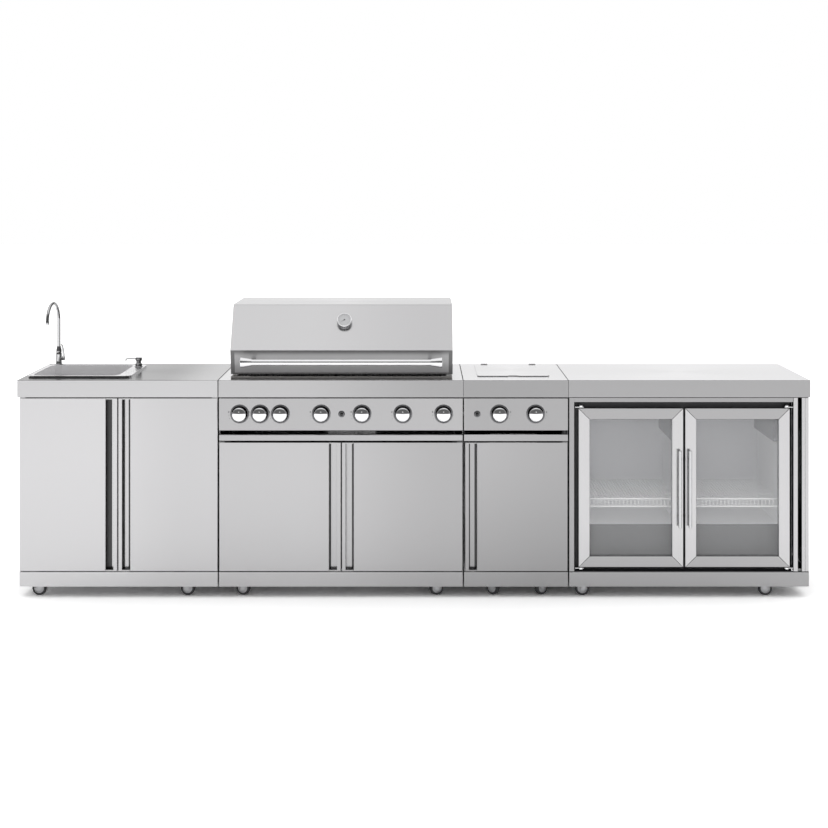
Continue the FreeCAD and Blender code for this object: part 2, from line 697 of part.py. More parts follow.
def pull_door(label, hinge_edge, meeting_edge, side, top):
    width = f"abs({meeting_edge} - ({hinge_edge}))"
    height = f"{top} - door_bottom"
    leaf = f"{width} - pull_lip - pull_opening"
    outline = [
        ("2", "0"), (f"{leaf} - 2", "0"), (leaf, "2"), (leaf, "pull_depth"),
        (f"{width} - skin", "pull_depth"), (f"{width} - skin", "skin"),
        (f"{width} - pull_lip + skin", "skin"), (f"{width} - pull_lip + skin", "9"),
        (f"{width} - pull_lip", "9"), (f"{width} - pull_lip", "0"), (f"{width} - 2", "0"),
        (width, "2"), (width, "pull_depth + skin"), (f"{leaf} - skin", "pull_depth + skin"),
        (f"{leaf} - skin", "door_thick"), ("0", "door_thick"), ("0", "2")]
    caps = rectangle(leaf, "skin", "pull_opening + pull_lip - skin", "pull_depth - skin")
    if side < 0:
        outline, caps = mirrored(outline), mirrored(caps)
    pin_place = (f"{side} * pin_inset", "pin_depth")
    piece = Piece(label, hinge_edge, "front + door_face", "door_bottom")
    piece.pad("XY", "0", height, outline)
    piece.pad("XY", "0", "4", caps)
    piece.pad("XY", f"{height} - 4", "4", caps)
    piece.pad("XY", height, "3.2", pin_profile(*pin_place, "pin_radius"))
    piece.pad("XY", "-5", "5", pin_profile(*pin_place, "pin_radius"))
    return piece.sub_part()


def cabinet_doors():
    half_gap = "meeting_gap / 2"
    pull_door("sink_left_door", SINK_LEFT, f"sink_meeting - {half_gap}", 1, "sink_door_top")
    pull_door("sink_right_door", SINK_RIGHT, f"sink_meeting + {half_gap}", -1, "sink_door_top")
    pull_door("grill_left_door", GRILL_LEFT, f"grill_meeting - {half_gap}", 1, "low_door_top")
    pull_door("grill_right_door", GRILL_RIGHT, f"grill_meeting + {half_gap}", -1, "low_door_top")
    pull_door("side_burner_door", BURNER_RIGHT, f"{BURNER_LEFT} + 4", -1, "low_door_top")


# Sink: a raised-rim bowl let into the worktop, with its waste, faucet and soap dispenser.

def sink_bowl():
    width = "(rim_width - bowl_margin - bowl_ledge)"
    length = "(rim_depth - 2 * bowl_margin)"

    def section(inset):
        return round_rectangle(f"bowl_margin + {inset}", f"bowl_margin + {inset}",
                               f"({width} - 2 * ({inset}))",
                               f"({length} - 2 * ({inset}))", "bowl_corner")

    piece = Piece("sink_bowl", "rim_left", "front + rim_front", "top_height + rim_height")
    piece.pad("XY", "-rim_height", "rim_height", round_rectangle("0", "0", "rim_width", "rim_depth", "28"))
    piece.pad("XY", "-bowl_depth - skin", "bowl_depth + skin - rim_height", section("-skin"))
    hollow = piece.pocket("XY", "-bowl_depth", "bowl_depth + 1", section("0"))
    inside = piece.bevel(hollow, "XY", "-bowl_depth", "bowl_bevel", "bowl_bevel")
    piece.bevel(inside, "XY", "-bowl_depth - skin", "bowl_bevel", "bowl_bevel")
    centre = (f"bowl_margin + {width} / 2", f"bowl_margin + {length} / 2")
    piece.pocket("XY", "-bowl_depth - 20", "40", Flats(*centre, "(drain_radius + 0.5) / cos(11.25)", 16))
    piece.pocket("XY", "-rim_height - 1", "rim_height + 2",
                 Flats("soap_x - rim_left", "soap_back - rim_front", "10.5", 12))
    piece.sub_part()
    return centre


def sink_drain(centre):
    piece = Piece("sink_drain", f"rim_left + {centre[0]}", f"front + rim_front + {centre[1]}",
                  "top_height + rim_height - bowl_depth")
    piece.pad("XY", "-46", "47", Flats("0", "0", "drain_radius", 14))
    piece.pad("XY", "0.2", "2", Flats("0", "0", "57", 14))
    piece.pad("XY", "-18", "12", Flats("0", "0", "54", 6))
    piece.pad("XY", "-190", "145", Circle("0", "0", "drain_pipe"))
    piece.pocket("XY", "-12", "20", Flats("0", "0", "drain_radius - 4", 14))
    piece.pocket("XY", "-44", "30", Flats("0", "0", "drain_radius - 4", 10))
    piece.pocket("XY", "-191", "150", Flats("0", "0", "drain_pipe - 1.5", 10))
    hole = piece.pocket("XY", "-20", "12", Flats("20", "0", "5", 4))
    piece.ring(hole, 6)
    piece.sub_part()


def faucet():
    body = Piece("faucet_body", "faucet_x", "front + faucet_back", "top_height")
    barrel = body.pad("XY", "0", "faucet_body_height", Flats("0", "0", "faucet_radius", 16))
    body.bevel(barrel, "XY", "faucet_body_height", "1", "1")
    body.pad("XY", "0", "4", Flats("0", "0", "20", 14))
    body.pad("XY", "-60", "46", Circle("0", "0", "10.48"))
    body.pad("XY", "-14", "14", Flats("0", "0", "10", 8))
    body.pad("YZ", "faucet_radius - 4", "5", Flats("0", "lever_height", "10", 8))
    body.pad("YZ", "faucet_radius + 1", "12", pin_profile("0", "lever_height", "pin_radius"))
    body.pad("XY", "-14", "8", Flats("0", "0", "20", 6))
    body.pocket("XY", "-61", "82", Flats("0", "0", "5", 8))
    body.pocket("XY", "20", "faucet_body_height", bore_profile("0", "0", "spigot_radius"))
    body.sub_part()

    spout = Piece("faucet_spout", "faucet_x", "front + faucet_back", "top_height",
                  Rotation(Vector(0, 0, 1), -6))
    collar_height = "faucet_body_height + 0.3"
    spout.pad("XY", "24", "faucet_body_height - 23", pin_profile("0", "0", "spigot_radius"))
    collar = spout.pad("XY", collar_height, "28", Flats("0", "0", "faucet_radius - 1", 14))
    spout.bevel(collar, "XY", f"{collar_height} + 28", "22", "4.5")
    foot = "faucet_body_height + 26"
    arch = [(f"spout_arch * cos({angle}) - spout_arch", f"spout_rise + spout_arch * sin({angle})")
            for angle in range(0, 181, 15)]
    spout.pipe("XY", foot, Flats("0", "0", "spout_radius", 10), "YZ",
               [("0", foot)] + arch + [("-2 * spout_arch", "spout_rise - 8")])
    spout.sub_part()

    lever = Piece("faucet_lever", "faucet_x + faucet_radius + 1.3", "front + faucet_back",
                  "top_height + lever_height")
    lever.pad("YZ", "0", "14", Flats("0", "0", "9.5", 10))
    lever.pad("XZ", "-4.5", "9", [("3", "6"), ("12", "6"), ("8.5", "34"), ("1", "64"), ("-4", "64"),
                                  ("1.5", "34")])
    lever.pocket("YZ", "-1", "13.5", bore_profile("0", "0", "pin_radius"))
    lever.sub_part()


def soap():
    ledge = "top_height + rim_height"
    body = Piece("soap_dispenser", "soap_x", "front + soap_back", ledge)
    body.pad("XY", "0", "2", Flats("0", "0", "19", 12))
    body.pad("XY", "2", "13", Flats("0", "0", "soap_radius", 12))
    body.pad("XY", "15", "12", Flats("0", "0", "11", 10))
    body.pad("XY", "-34", "34", Flats("0", "0", "10", 8))
    body.pad("XY", "-42", "8", Flats("0", "0", "15", 8))
    body.pad("XY", "-150", "108", Flats("0", "0", "20", 10))
    body.pocket("XY", "-20", "48", bore_profile("0", "0", "pin_radius"))
    body.sub_part()

    pump = Piece("soap_pump", "soap_x", "front + soap_back", ledge)
    cap = pump.pad("XY", "27.5", "14.5", Flats("0", "0", "soap_radius", 12))
    pump.bevel(cap, "XY", "42", "2.5", "2.5")
    pump.pocket("XY", "26", "13.8", Flats("0", "0", "11.8", 10))
    pump.pad("XY", "-6", "46", pin_profile("0", "0", "pin_radius"))
    pump.pad("YZ", "-60", "48", Flats("0", "36", "2.8", 6))
    pump.pad("XY", "26", "9", Flats("-57.5", "0", "2.8", 6))
    pump.sub_part()


# Grill: firebox, burners, grates and the fixed works behind the control panel.

def firebox():
    wall = "skin * 2"
    low = "box_floor"
    high = "top_height - box_floor"
    mid = "box_left + box_width / 2"
    pieces = [
        box("firebox_left", "box_left", "front + box_front", low, wall, "box_depth", high),
        box("firebox_right", f"box_left + box_width - {wall}", "front + box_front", low, wall,
            "box_depth", high),
        box("firebox_front", f"box_left + {wall}", "front + box_front", low, f"box_width - 2 * {wall}",
            wall, high),
        box("firebox_back", f"box_left + {wall}", f"front + box_front + box_depth - {wall}", low,
            f"box_width - 2 * {wall}", wall, f"{high} + 235"),
        box("firebox_front_flange", "box_left - 20", "front + box_front - 22", "top_height + 0.2",
            "box_width + 40", "25", "8"),
    ]
    for side, sign in (("left", -1), ("right", 1)):
        hopper = Piece(f"firebox_{side}_hopper", mid, f"front + box_front + {wall}", "0")
        inner, outer = "45", f"box_width / 2 - {wall}"
        outline = [(outer, f"{low} + 3"), (inner, f"{low} - 30"), (inner, f"{low} - 33"), (outer, low)]
        hopper.pad("XZ", "0", f"box_depth - 2 * {wall}", outline if sign > 0 else mirrored(outline))
        x = "box_left - 20" if sign < 0 else "box_left + box_width - 3"
        flange = box(f"firebox_{side}_flange", x, "front + box_front + 3", "top_height + 0.2", "23",
                     "box_depth", "8")
        left_face, right_face = "hood_left + hood_cheek + 0.8", "hood_left + hood_width - hood_cheek - 5.8"
        inner_face = left_face if sign < 0 else right_face
        bracket = box(f"hood_{side}_bracket", inner_face, "front + hood_pivot_back - 24",
                      "top_height + 8.2",
                      "5", "44", "hood_pivot_height + 20 - top_height - 8.2")
        start = "hood_left - 4" if sign < 0 else "hood_left + hood_width - hood_cheek - 0.8"
        pin = rod(f"hood_{side}_pin", start, "front + hood_pivot_back", "hood_pivot_height",
                  "6", "hood_cheek + 4.8", "X")
        pieces += [hopper, flange, fused(f"hood_{side}_pivot", [bracket, pin])]
    group("firebox", pieces)


BURNERS = [f"knob_first + {index} * knob_pitch" for index in range(6)]


def burners():
    tubes = []
    for index in range(6):
        x = f"box_left + box_width * ({index} + 0.5) / 6"
        tubes.append(many_sided(f"burner_tube{index}", x, "front + box_front + 12", "box_floor + 70", "12",
                                "430", "Y", 8))
    tubes.append(box("rear_burner", "box_left + 200", "front + box_front + box_depth - 28",
                     "top_height + 60",
                     "box_width - 400", "24", "110"))
    group("burner_tubes", tubes)

    tamers = []
    for index in range(6):
        piece = Piece(f"flame_tamer{index}", f"box_left + box_width * ({index} + 0.5) / 6",
                      "front + box_front + 8", "box_floor + 98")
        piece.pad("XZ", "0", "440", [("-44", "0"), ("-42", "0"), ("0", "22"), ("42", "0"), ("44", "0"),
                                     ("0", "24.5")])
        tamers.append(piece)
    group("flame_tamers", tamers)


def grates():
    items = []
    pitch = "box_width - 12"
    for index in range(4):
        piece = Piece(f"grate{index}", f"box_left + 6 + ({pitch}) * {index} / 4", "front + box_front + 6",
                      "grate_height - 8")
        piece.pad("XY", "0", "8", rectangle("0.5", "0", f"({pitch}) / 4 - 1", "490"))
        slot = piece.pocket("XY", "-1", "10", rectangle("12", "14", "20", "462"))
        piece.row(slot, "X", f"({pitch}) / 4 - 44", 7)
        items.append(piece)
    group("cooking_grates", items)

    rack = Piece("warming_rack_grid", "box_left + 60", "front + 396", "top_height + 100")
    rack.pad("XY", "0", "6", rectangle("0", "0", "box_width - 120", "150"))
    slot = rack.pocket("XY", "-1", "8", rectangle("12", "8", "63", "134"))
    rack.row(slot, "X", "box_width - 198", 10)
    legs = [box(f"warming_rack_leg{index}", f"box_left + 60 + {x}", f"front + 396 + {y}", "top_height + 7",
                "6", "6", "93")
            for index, (x, y) in enumerate([("0", "0"), ("box_width - 126", "0"),
                                            ("0", "144"), ("box_width - 126", "144")])]
    group("warming_rack", [rack] + legs)


KNOBS = [BURNERS[0], f"{BURNERS[0]} + knob_pitch / 2"] + BURNERS[1:]
BURNER_KNOBS = ["burner_knob_left", "burner_knob_right"]


def gas_manifold():
    """A gas pipe with one valve in front of it for each knob, and the inlet that points down."""
    start = "knob_first - 60"
    pipe = Piece("manifold_pipe", start, "front + pipe_back", "knob_height")
    pipe.pad("YZ", "0", "1320", Flats("0", "0", "pipe_radius", 8))
    pipe.pad("XY", "-18", "16", Flats(f"inlet_x - ({start})", "0", "15", 6))
    pipe.pad("XY", "-18 - inlet_length", "inlet_length", Circle(f"inlet_x - ({start})", "0", "10.48"))
    pieces = [pipe]
    for index, x in enumerate(KNOBS + BURNER_KNOBS):
        valve = Piece(f"valve{index}", x, "front + valve_back", "knob_height")
        valve.pad("XZ", "0", "pipe_back - valve_back - pipe_radius * cos(22.5)",
                  rectangle("-14", "-14", "28", "28"))
        valve.pocket("XZ", "-1", "19", Flats("0", "0", "(stem_radius + pin_fit) / cos(30)", 6))
        pieces.append(valve)
    group("gas_manifold", pieces)


def control_panels():
    pieces = []
    modules = [("grill", GRILL_LEFT, GRILL_RIGHT, KNOBS, "knob_first + 2.5 * knob_pitch"),
               ("burner", BURNER_LEFT, BURNER_RIGHT, BURNER_KNOBS, "side_button")]
    for name, left, right, knobs, button in modules:
        height = "control_top - control_bottom"
        level = "knob_height - control_bottom"
        panel = Piece(f"{name}_control_panel", left, "front + door_face", "control_bottom")
        panel.pad("YZ", "0", f"{right} - ({left})", [
            ("2", "0"), ("20", "0"), ("20", "panel"), ("panel", "panel"), ("panel", f"{height} - panel"),
            ("20", f"{height} - panel"), ("20", height), ("2", height), ("0", f"{height} - 2"), ("0", "2")])
        holes = [rectangle(f"{x} - ({left}) - 7", f"{level} - 7", "14", "14") for x in knobs + [button]]
        panel.pocket("XZ", "-1", "6", *holes)
        pieces.append(panel)
        for index, x in enumerate(knobs):
            bezel = Piece(f"{name}_bezel{index}", x, "front + door_face", "knob_height")
            bezel.pad("XZ", "-3", "3", Flats("0", "0", "bezel_radius", 10),
                      rectangle("-6", "-6", "12", "12"))
            pieces.append(bezel)
        collar = Piece(f"{name}_button_collar", button, "front + door_face", "knob_height")
        collar.pad("XZ", "-4", "4", Flats("0", "0", "14", 8), Flats("0", "0", "7.2", 8))
        pieces.append(collar)
    group("control_panels", pieces)


def knob(label, x):
    """A domed knob with many small flats round it, on a stem that turns in the valve."""
    piece = Piece(label, x, "front + door_face", "knob_height")
    dome = piece.pad("XZ", "-knob_length", "knob_length - 6.5", Flats("0", "0", "knob_radius", 16))
    piece.bevel(dome, "XZ", "-knob_length", "knob_dome", "knob_radius * 0.55")
    piece.pad("XZ", "-8", "32", Flats("0", "0", "stem_radius", 6))
    piece.sub_part()


def igniter(label, x):
    """A sprung push button in its collar."""
    finish(many_sided(label, x, "front + door_face - 11", "knob_height", "6.4", "24", "Y", 10), label)


def controls():
    for index, x in enumerate(KNOBS, start=1):
        knob(f"knob_{index}", x)
    for side, x in (("left", "burner_knob_left"), ("right", "burner_knob_right")):
        knob(f"side_burner_{side}_knob", x)
    igniter("igniter_button", "knob_first + 2.5 * knob_pitch")
    igniter("side_igniter_button", "side_button")


def grease_tray():
    width = f"{GRILL_RIGHT} - ({GRILL_LEFT})"
    piece = Piece("grease_tray", GRILL_LEFT, "front + door_face", "strip_bottom")
    piece.pad("YZ", "0.5", f"{width} - 1", [
        ("0", "2"), ("0", "25"), ("2", "27"), ("18", "27"), ("18", "25"), ("2", "25"),
        ("2", "2"), ("18", "2"), ("18", "0"), ("2", "0")])
    piece.pad("XY", "0", "22", rectangle("30", "18", f"{width} - 60", "560"))
    piece.pocket("XY", "2", "30", rectangle("32", "20", f"{width} - 64", "556"))
    piece.sub_part()


# Hood: a folded shell on two rear pivots, with its bar handle and thermometer.

def hood():
    piece = Piece("hood_shell", "hood_left", "front", "0")
    outline = [
        ("hood_front_low", "hood_bottom"), ("hood_rear", "hood_bottom + 20"), ("hood_rear", "hood_top - 8"),
        Arc("8", 1), ("hood_rear - 8", "hood_top"),
        ("hood_front_top + 22", "hood_top"), Arc("50", 1), ("hood_front_top - 20", "hood_top - 14"),
        ("hood_front_break", "hood_break")]
    lean = "(hood_front_low - hood_front_break) / (hood_break - hood_bottom)"
    inner = [
        (f"hood_front_low + skin + 20 * {lean}", "hood_bottom - 20"), ("hood_rear + 5", "hood_bottom - 20"),
        ("hood_rear + 5", "hood_top - 24"), ("hood_rear - skin", "hood_top - 24"),
        ("hood_rear - skin", "hood_top - skin"),
        ("hood_front_top + 22", "hood_top - skin"), Arc("48", 1),
        ("hood_front_top - 18", "hood_top - 15.5"), ("hood_front_break + skin * 1.3", "hood_break - 0.5")]
    piece.pad("YZ", "0", "hood_width", outline)
    piece.pocket("YZ", "hood_cheek", "hood_width - 2 * hood_cheek", inner)
    piece.pocket("YZ", "-1", "hood_width + 2", [
        ("hood_pivot_back", "hood_pivot_height - 44"), ("hood_rear + 10", "hood_pivot_height - 44"),
        ("hood_rear + 10", "hood_pivot_height"), ("hood_pivot_back + 38", "hood_pivot_height"),
        Arc("38", -1), ("hood_pivot_back", "hood_pivot_height - 38")])
    piece.pocket("YZ", "-1", "hood_width + 2", Circle("hood_pivot_back", "hood_pivot_height",
                                                      "6 + pin_fit"))
    piece.sub_part()

    bar = Piece("handle_bar", "handle_left", "front", "handle_height")
    bar.pad("YZ", "40", "handle_length - 80", Flats("0", "0", "handle_radius", 12))
    ends = []
    for side, start, slope in (("left", "0", "48"), ("right", "handle_length - 48", "0")):
        cone = Piece(f"handle_{side}_cone", f"handle_left + {start}", "front", "handle_height")
        blank = cone.pad("YZ", "0", "48", Flats("0", "0", "23", 14))
        cone.bevel(blank, "YZ", slope, "44", "8")
        ends.append(cone.body)
    low, high = (f"hood_front_low - {lean} * (handle_height {side} 9 - hood_bottom)" for side in "-+")
    for x in ("42", "handle_length - 60"):
        bar.pad("YZ", x, "18", [("8", "-9"), (low, "-9"), (high, "9"), ("8", "9")])
    finish(fused("hood_handle", [bar.body] + ends), "hood_handle")

    run = "(hood_front_top - 20 - hood_front_break)"
    rise = "(hood_top - 14 - hood_break)"
    tilt = -math.degrees(math.atan2(number(run), number(rise)))
    gauge_depth = f"front + hood_front_break + (gauge_height - hood_break) * {run} / {rise}"
    gauge = Piece("thermometer", "gauge_x", gauge_depth,
                  "gauge_height", Rotation(Vector(1, 0, 0), tilt))
    gauge.pad("XZ", "-15", "15", Flats("0", "0", "26", 12))
    dial = gauge.pad("XZ", "-24", "10", Flats("0", "0", "gauge_radius", 16))
    gauge.bevel(dial, "XZ", "-24", "2", "2")
    gauge.pocket("XZ", "-25", "3", Flats("0", "0", "gauge_radius - 5", 16))
    gauge.sub_part()


# Side burner: a flush lid over a recessed pan with a double ring burner.

def side_burner():
    pan = Piece("burner_pan", "lid_left + 8", "front + lid_front + 8", "top_height - 110")
    pan.pad("XY", "0", "106", rectangle("0", "0", "lid_width - 16", "lid_depth - 24"))
    pan.pocket("XY", "2", "110", rectangle("2", "2", "lid_width - 20", "lid_depth - 28"))
    centre_x, centre_y = "lid_left + lid_width / 2", "front + lid_front + lid_depth / 2 - 8"
    base = "top_height - 108"
    ring = Piece("burner_ring", centre_x, centre_y, base)
    ring.pad("XY", "0", "30", Flats("0", "0", "24", 8))
    ring.pad("XY", "28", "16", Flats("0", "0", "64", 16))
    ring.pocket("XY", "38", "8", Flats("0", "0", "48", 16))
    ring.pad("XY", "30", "20", Flats("0", "0", "28", 12))
    bars = []
    for index, angle in enumerate((0, 90)):
        bar = doc.addObject("Part::Box", f"trivet_bar{index}")
        bind(bar, "Length", "lid_width - 40")
        bar.Width = 8
        bar.Height = 14
        if angle == 0:
            place(bar, f"{centre_x} - lid_width / 2 + 20", f"{centre_y} - 4", f"{base} + 62")
        else:
            bar.Placement = Placement(Vector(), Rotation(Vector(0, 0, 1), 90))
            place(bar, f"{centre_x} + 4", f"{centre_y} - lid_width / 2 + 20", f"{base} + 62")
        bars.append(bar)
    feet = []
    for x, y in ((1, 0), (-1, 0), (0, 1), (0, -1)):
        feet.append(box(f"trivet_foot{len(feet)}", f"{centre_x} + {x} * 100 - 4",
                        f"{centre_y} + {y} * 100 - 4", base,
                        "8", "8", "64"))
    group("side_burner", [pan, ring, fused("trivet", bars + feet)])

    lid = Piece("side_burner_lid", "lid_left", "front + lid_front", "top_height + 0.4")
    lid.pad("XY", "0", "3", round_rectangle("0", "0", "lid_width", "lid_depth", "14"))
    lid.pad("XY", "-10", "10.5", rectangle("12", "12", "lid_width - 24", "lid_depth - 40"))
    lid.pocket("XY", "-11", "11", rectangle("13.5", "13.5", "lid_width - 27", "lid_depth - 43"))
    lid.pocket("XY", "-1", "6", [("lid_width / 2 - 22", "-1"), ("lid_width / 2 + 22", "-1"),
                                 ("lid_width / 2 + 22", "6"), ("lid_width / 2 + 16", "12"),
                                 ("lid_width / 2 - 16", "12"), ("lid_width / 2 - 22", "6")])
    for x in ("30", "lid_width - 60"):
        lid.pad("YZ", x, "30", Flats("lid_depth + 5", "4.5", "4", 8))
        lid.pad("XY", "1", "1.8", rectangle(x, "lid_depth - 2", "30", "6"))
    lid.sub_part()


# Fridge: an insulated two-compartment body with framed glass doors.

def fridge_body():
    piece = Piece("fridge_body", "fridge_left", "front + fridge_front", "fridge_bottom")
    piece.pad("XY", "0", "fridge_height", rectangle("0", "0", "fridge_width", "fridge_depth"))
    half = "(fridge_width - 3 * fridge_wall + 10) / 2"
    for x in ("fridge_wall", f"2 * fridge_wall - 10 + {half}"):
        piece.pocket("YZ", x, half, [
            ("-1", "32"), ("55", "32"), ("55", "step_height - fridge_bottom"),
            ("fridge_depth - fridge_wall - 10", "step_height - fridge_bottom"),
            ("fridge_depth - fridge_wall - 10", "fridge_height - fridge_wall"),
            ("-1", "fridge_height - fridge_wall")])
        piece.pad("YZ", f"{x} + {half} - 25", "25", [
            ("18", "fridge_height - fridge_wall"), ("18", "fridge_height - fridge_wall - 110"),
            ("34", "fridge_height - fridge_wall - 128"), ("440", "fridge_height - fridge_wall - 128"),
            ("440", "fridge_height - fridge_wall")])
    piece.sub_part()

    shelves = []
    for index, x in enumerate(("fridge_left + fridge_wall + 4",
                               f"fridge_left + 2 * fridge_wall - 6 + {half}")):
        shelf = Piece(f"shelf{index}", x, "front + fridge_front + 20", "shelf_height - 5")
        shelf.pad("XY", "0", "5", rectangle("0", "0", f"{half} - 8", "460"))
        slot = shelf.pocket("XY", "-1", "8", rectangle("8", "8", "46", "444"))
        shelf.row(slot, "X", f"{half} - 70", 6)
        guard = Piece(f"shelf_guard{index}", x, "front + fridge_front + 20", "shelf_height - 5")
        guard.pad("XZ", "0", "4", rectangle("0", "-34", f"{half} - 8", "34"))
        window = guard.pocket("XZ", "-1", "8", rectangle("8", "-29", "46", "24"))
        guard.row(window, "X", f"{half} - 70", 6)
        shelves += [shelf, guard]
    group("fridge_shelves", shelves)


def fridge_door(side, sign, edge):
    """Four mitred steel rails with a bar handle on the meeting stile."""
    name = f"fridge_{side}_door"
    wide, tall = "fridge_door_width", "fridge_door_height"
    face = "front + fridge_door_face"
    pin_place = (f"{sign} * fridge_pin_inset", "fridge_pin_depth")
    corners = {"hinge_stile": [("0", "0"), ("stile", "stile"), ("stile", f"{tall} - stile"), ("0", tall)],
               "meeting_stile": [(wide, "0"), (wide, tall), (f"{wide} - stile", f"{tall} - stile"),
                                 (f"{wide} - stile", "stile")],
               "bottom_rail": [("0", "0"), (wide, "0"), (f"{wide} - stile", "stile"), ("stile", "stile")],
               "top_rail": [("0", tall), ("stile", f"{tall} - stile"),
                            (f"{wide} - stile", f"{tall} - stile"),
                            (wide, tall)]}
    pieces = []
    for rail, outline in corners.items():
        piece = Piece(f"{side}_{rail}", edge, face, "fridge_door_bottom")
        flat = outline if sign > 0 else mirrored(outline)
        piece.pad("XZ", "0", "fridge_door_thick", flat)
        if rail == "top_rail":
            piece.pad("XY", tall, "6", pin_profile(*pin_place, "pin_radius"))
        if rail == "bottom_rail":
            piece.pad("XY", "-6", "6", pin_profile(*pin_place, "pin_radius"))
        if rail == "meeting_stile":
            x = f"{sign} * (fridge_door_width - 17)"
            low = "pull_bar_bottom - fridge_door_bottom"
            piece.pad("XY", low, "pull_bar_length", Flats(x, "-26", "pull_bar_radius", 12))
            for z in (f"{low} + 42", f"{low} + pull_bar_length - 42"):
                piece.pad("XZ", "-24", "25", Flats(x, z, "5", 6))
        pieces.append(piece)
    group(name, pieces)
    left = f"({edge}) + stile" if sign > 0 else f"({edge}) - fridge_door_width + stile"
    finish(box(f"fridge_{side}_glass", left, f"{face} + 9", "fridge_door_bottom + stile",
               "fridge_door_width - 2 * stile", "18", "fridge_door_height - 2 * stile"),
               f"fridge_{side}_glass")


def fridge_doors():
    fridge_door("left", 1, "fridge_door_left")
    fridge_door("right", -1, FRIDGE_DOOR_RIGHT)


# Casters: swivel ones under the front edge, rigid ones under the rear.

WHEEL_SIDES = 12
WHEEL_HEIGHT = f"wheel_radius * cos({180 / WHEEL_SIDES})"


def fork_plates(fork, plane, inner, outline):
    """The two cheeks of a caster's fork."""
    fork.pad(plane, f"-({inner}) - 2.5", "2.5", outline)
    fork.pad(plane, inner, "2.5", outline)


def casters():
    """Swivel casters, each with its wheel on a fixed axle."""
    gap = "wheel_width / 2 + 0.5"
    cheek = [("-16", "caster_height - 8"), ("caster_trail - 7", f"{WHEEL_HEIGHT} - 7"),
             ("caster_trail + 7", f"{WHEEL_HEIGHT} - 7"), ("16", "caster_height - 8")]
    for label, x, angle in CASTERS:
        turn = Rotation(Vector(0, 0, 1), angle)
        fork = Piece(label + "_fork", x, "front + caster_back", "0", turn)
        fork.pad("XY", "caster_height - 4.5", "4", rectangle("-20", "-20", "40", "40"))
        fork.pad("XY", "caster_height - 10", "6", Flats("0", "0", "15", 6))
        fork.pad("XY", "caster_height - 10.5", "2.5", rectangle("-16", f"-({gap}) - 2.5", "32",
                                                                f"2 * ({gap}) + 5"))
        fork_plates(fork, "XZ", gap, cheek)
        fork.pad("XZ", f"-({gap})", f"2 * ({gap})", Flats("caster_trail", WHEEL_HEIGHT, "4", 6))
        wheel = Piece(label + "_wheel", x, "front + caster_back", "0", turn)
        wheel.pad("XZ", "-wheel_width / 2", "wheel_width",
                  Flats("caster_trail", WHEEL_HEIGHT, "wheel_radius", WHEEL_SIDES),
                  Flats("caster_trail", WHEEL_HEIGHT, "4 + pin_fit", 6))
        group(label, [fork, wheel])


def rear_casters():
    """Rigid casters: all their wheels turn about one line."""
    y = "front + rear_caster_back"
    gap = "wheel_width / 2 + 0.7"
    cheek = [("-16", "caster_height"), ("-8", f"{WHEEL_HEIGHT} - 8"), ("8", f"{WHEEL_HEIGHT} - 8"),
             ("16", "caster_height")]
    forks, wheels = [], []
    for index, (name, x, angle) in enumerate(CASTERS):
        fork = Piece(f"rear_fork{index}", x, y, "0")
        fork_plates(fork, "YZ", gap, cheek)
        fork.pad("XY", "caster_height - 2.5", "2.5", rectangle("-24", "-24", "48", "48"))
        fork.pad("YZ", f"-({gap})", f"2 * ({gap})", Flats("0", WHEEL_HEIGHT, "4", 6))
        forks.append(fork)
        wheel = Piece(f"rear_wheel{index}", x, y, "0")
        wheel.pad("YZ", "-wheel_width / 2", "wheel_width",
                  Flats("0", WHEEL_HEIGHT, "wheel_radius", WHEEL_SIDES),
                  Flats("0", WHEEL_HEIGHT, "(4 + pin_fit) / cos(30)", 6))
        wheels.append(wheel)
    group("rear_caster_forks", forks)
    group("rear_caster_wheels", wheels)


def check_and_write():
    """Recompute, test every object, and write one file per sub-part."""
    doc.recompute()
    for item in doc.Objects:
        if "Invalid" in item.State or "Error" in item.State:
            raise RuntimeError(f"{item.Name} failed: {item.getStatusString()}")
    os.makedirs("parts", exist_ok=True)
    for item in sub_parts:
        if item.Shape.isNull() or not item.Shape.isValid() or not item.Shape.Solids:
            raise RuntimeError(f"{item.Label} has no valid solid")
        item.Shape.exportStep(f"parts/{item.Label}.step")
    print(f"{len(sub_parts)} sub-parts written")


worktops()
cabinets()
cabinet_doors()
sink_drain(sink_bowl())
faucet()
soap()
firebox()
burners()
grates()
gas_manifold()
control_panels()
controls()
grease_tray()
hood()
side_burner()
fridge_body()
fridge_doors()
casters()
rear_casters()
check_and_write()
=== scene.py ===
"""Looks of the outdoor kitchen island: finishes, smooth turned pieces, studio and camera."""

import json
import logging
import math
from dataclasses import dataclass
from enum import Enum
from typing import Callable, Dict, Iterator, List, Optional, Sequence, Tuple, Union

import bmesh
import bpy
from mathutils import Matrix, Vector

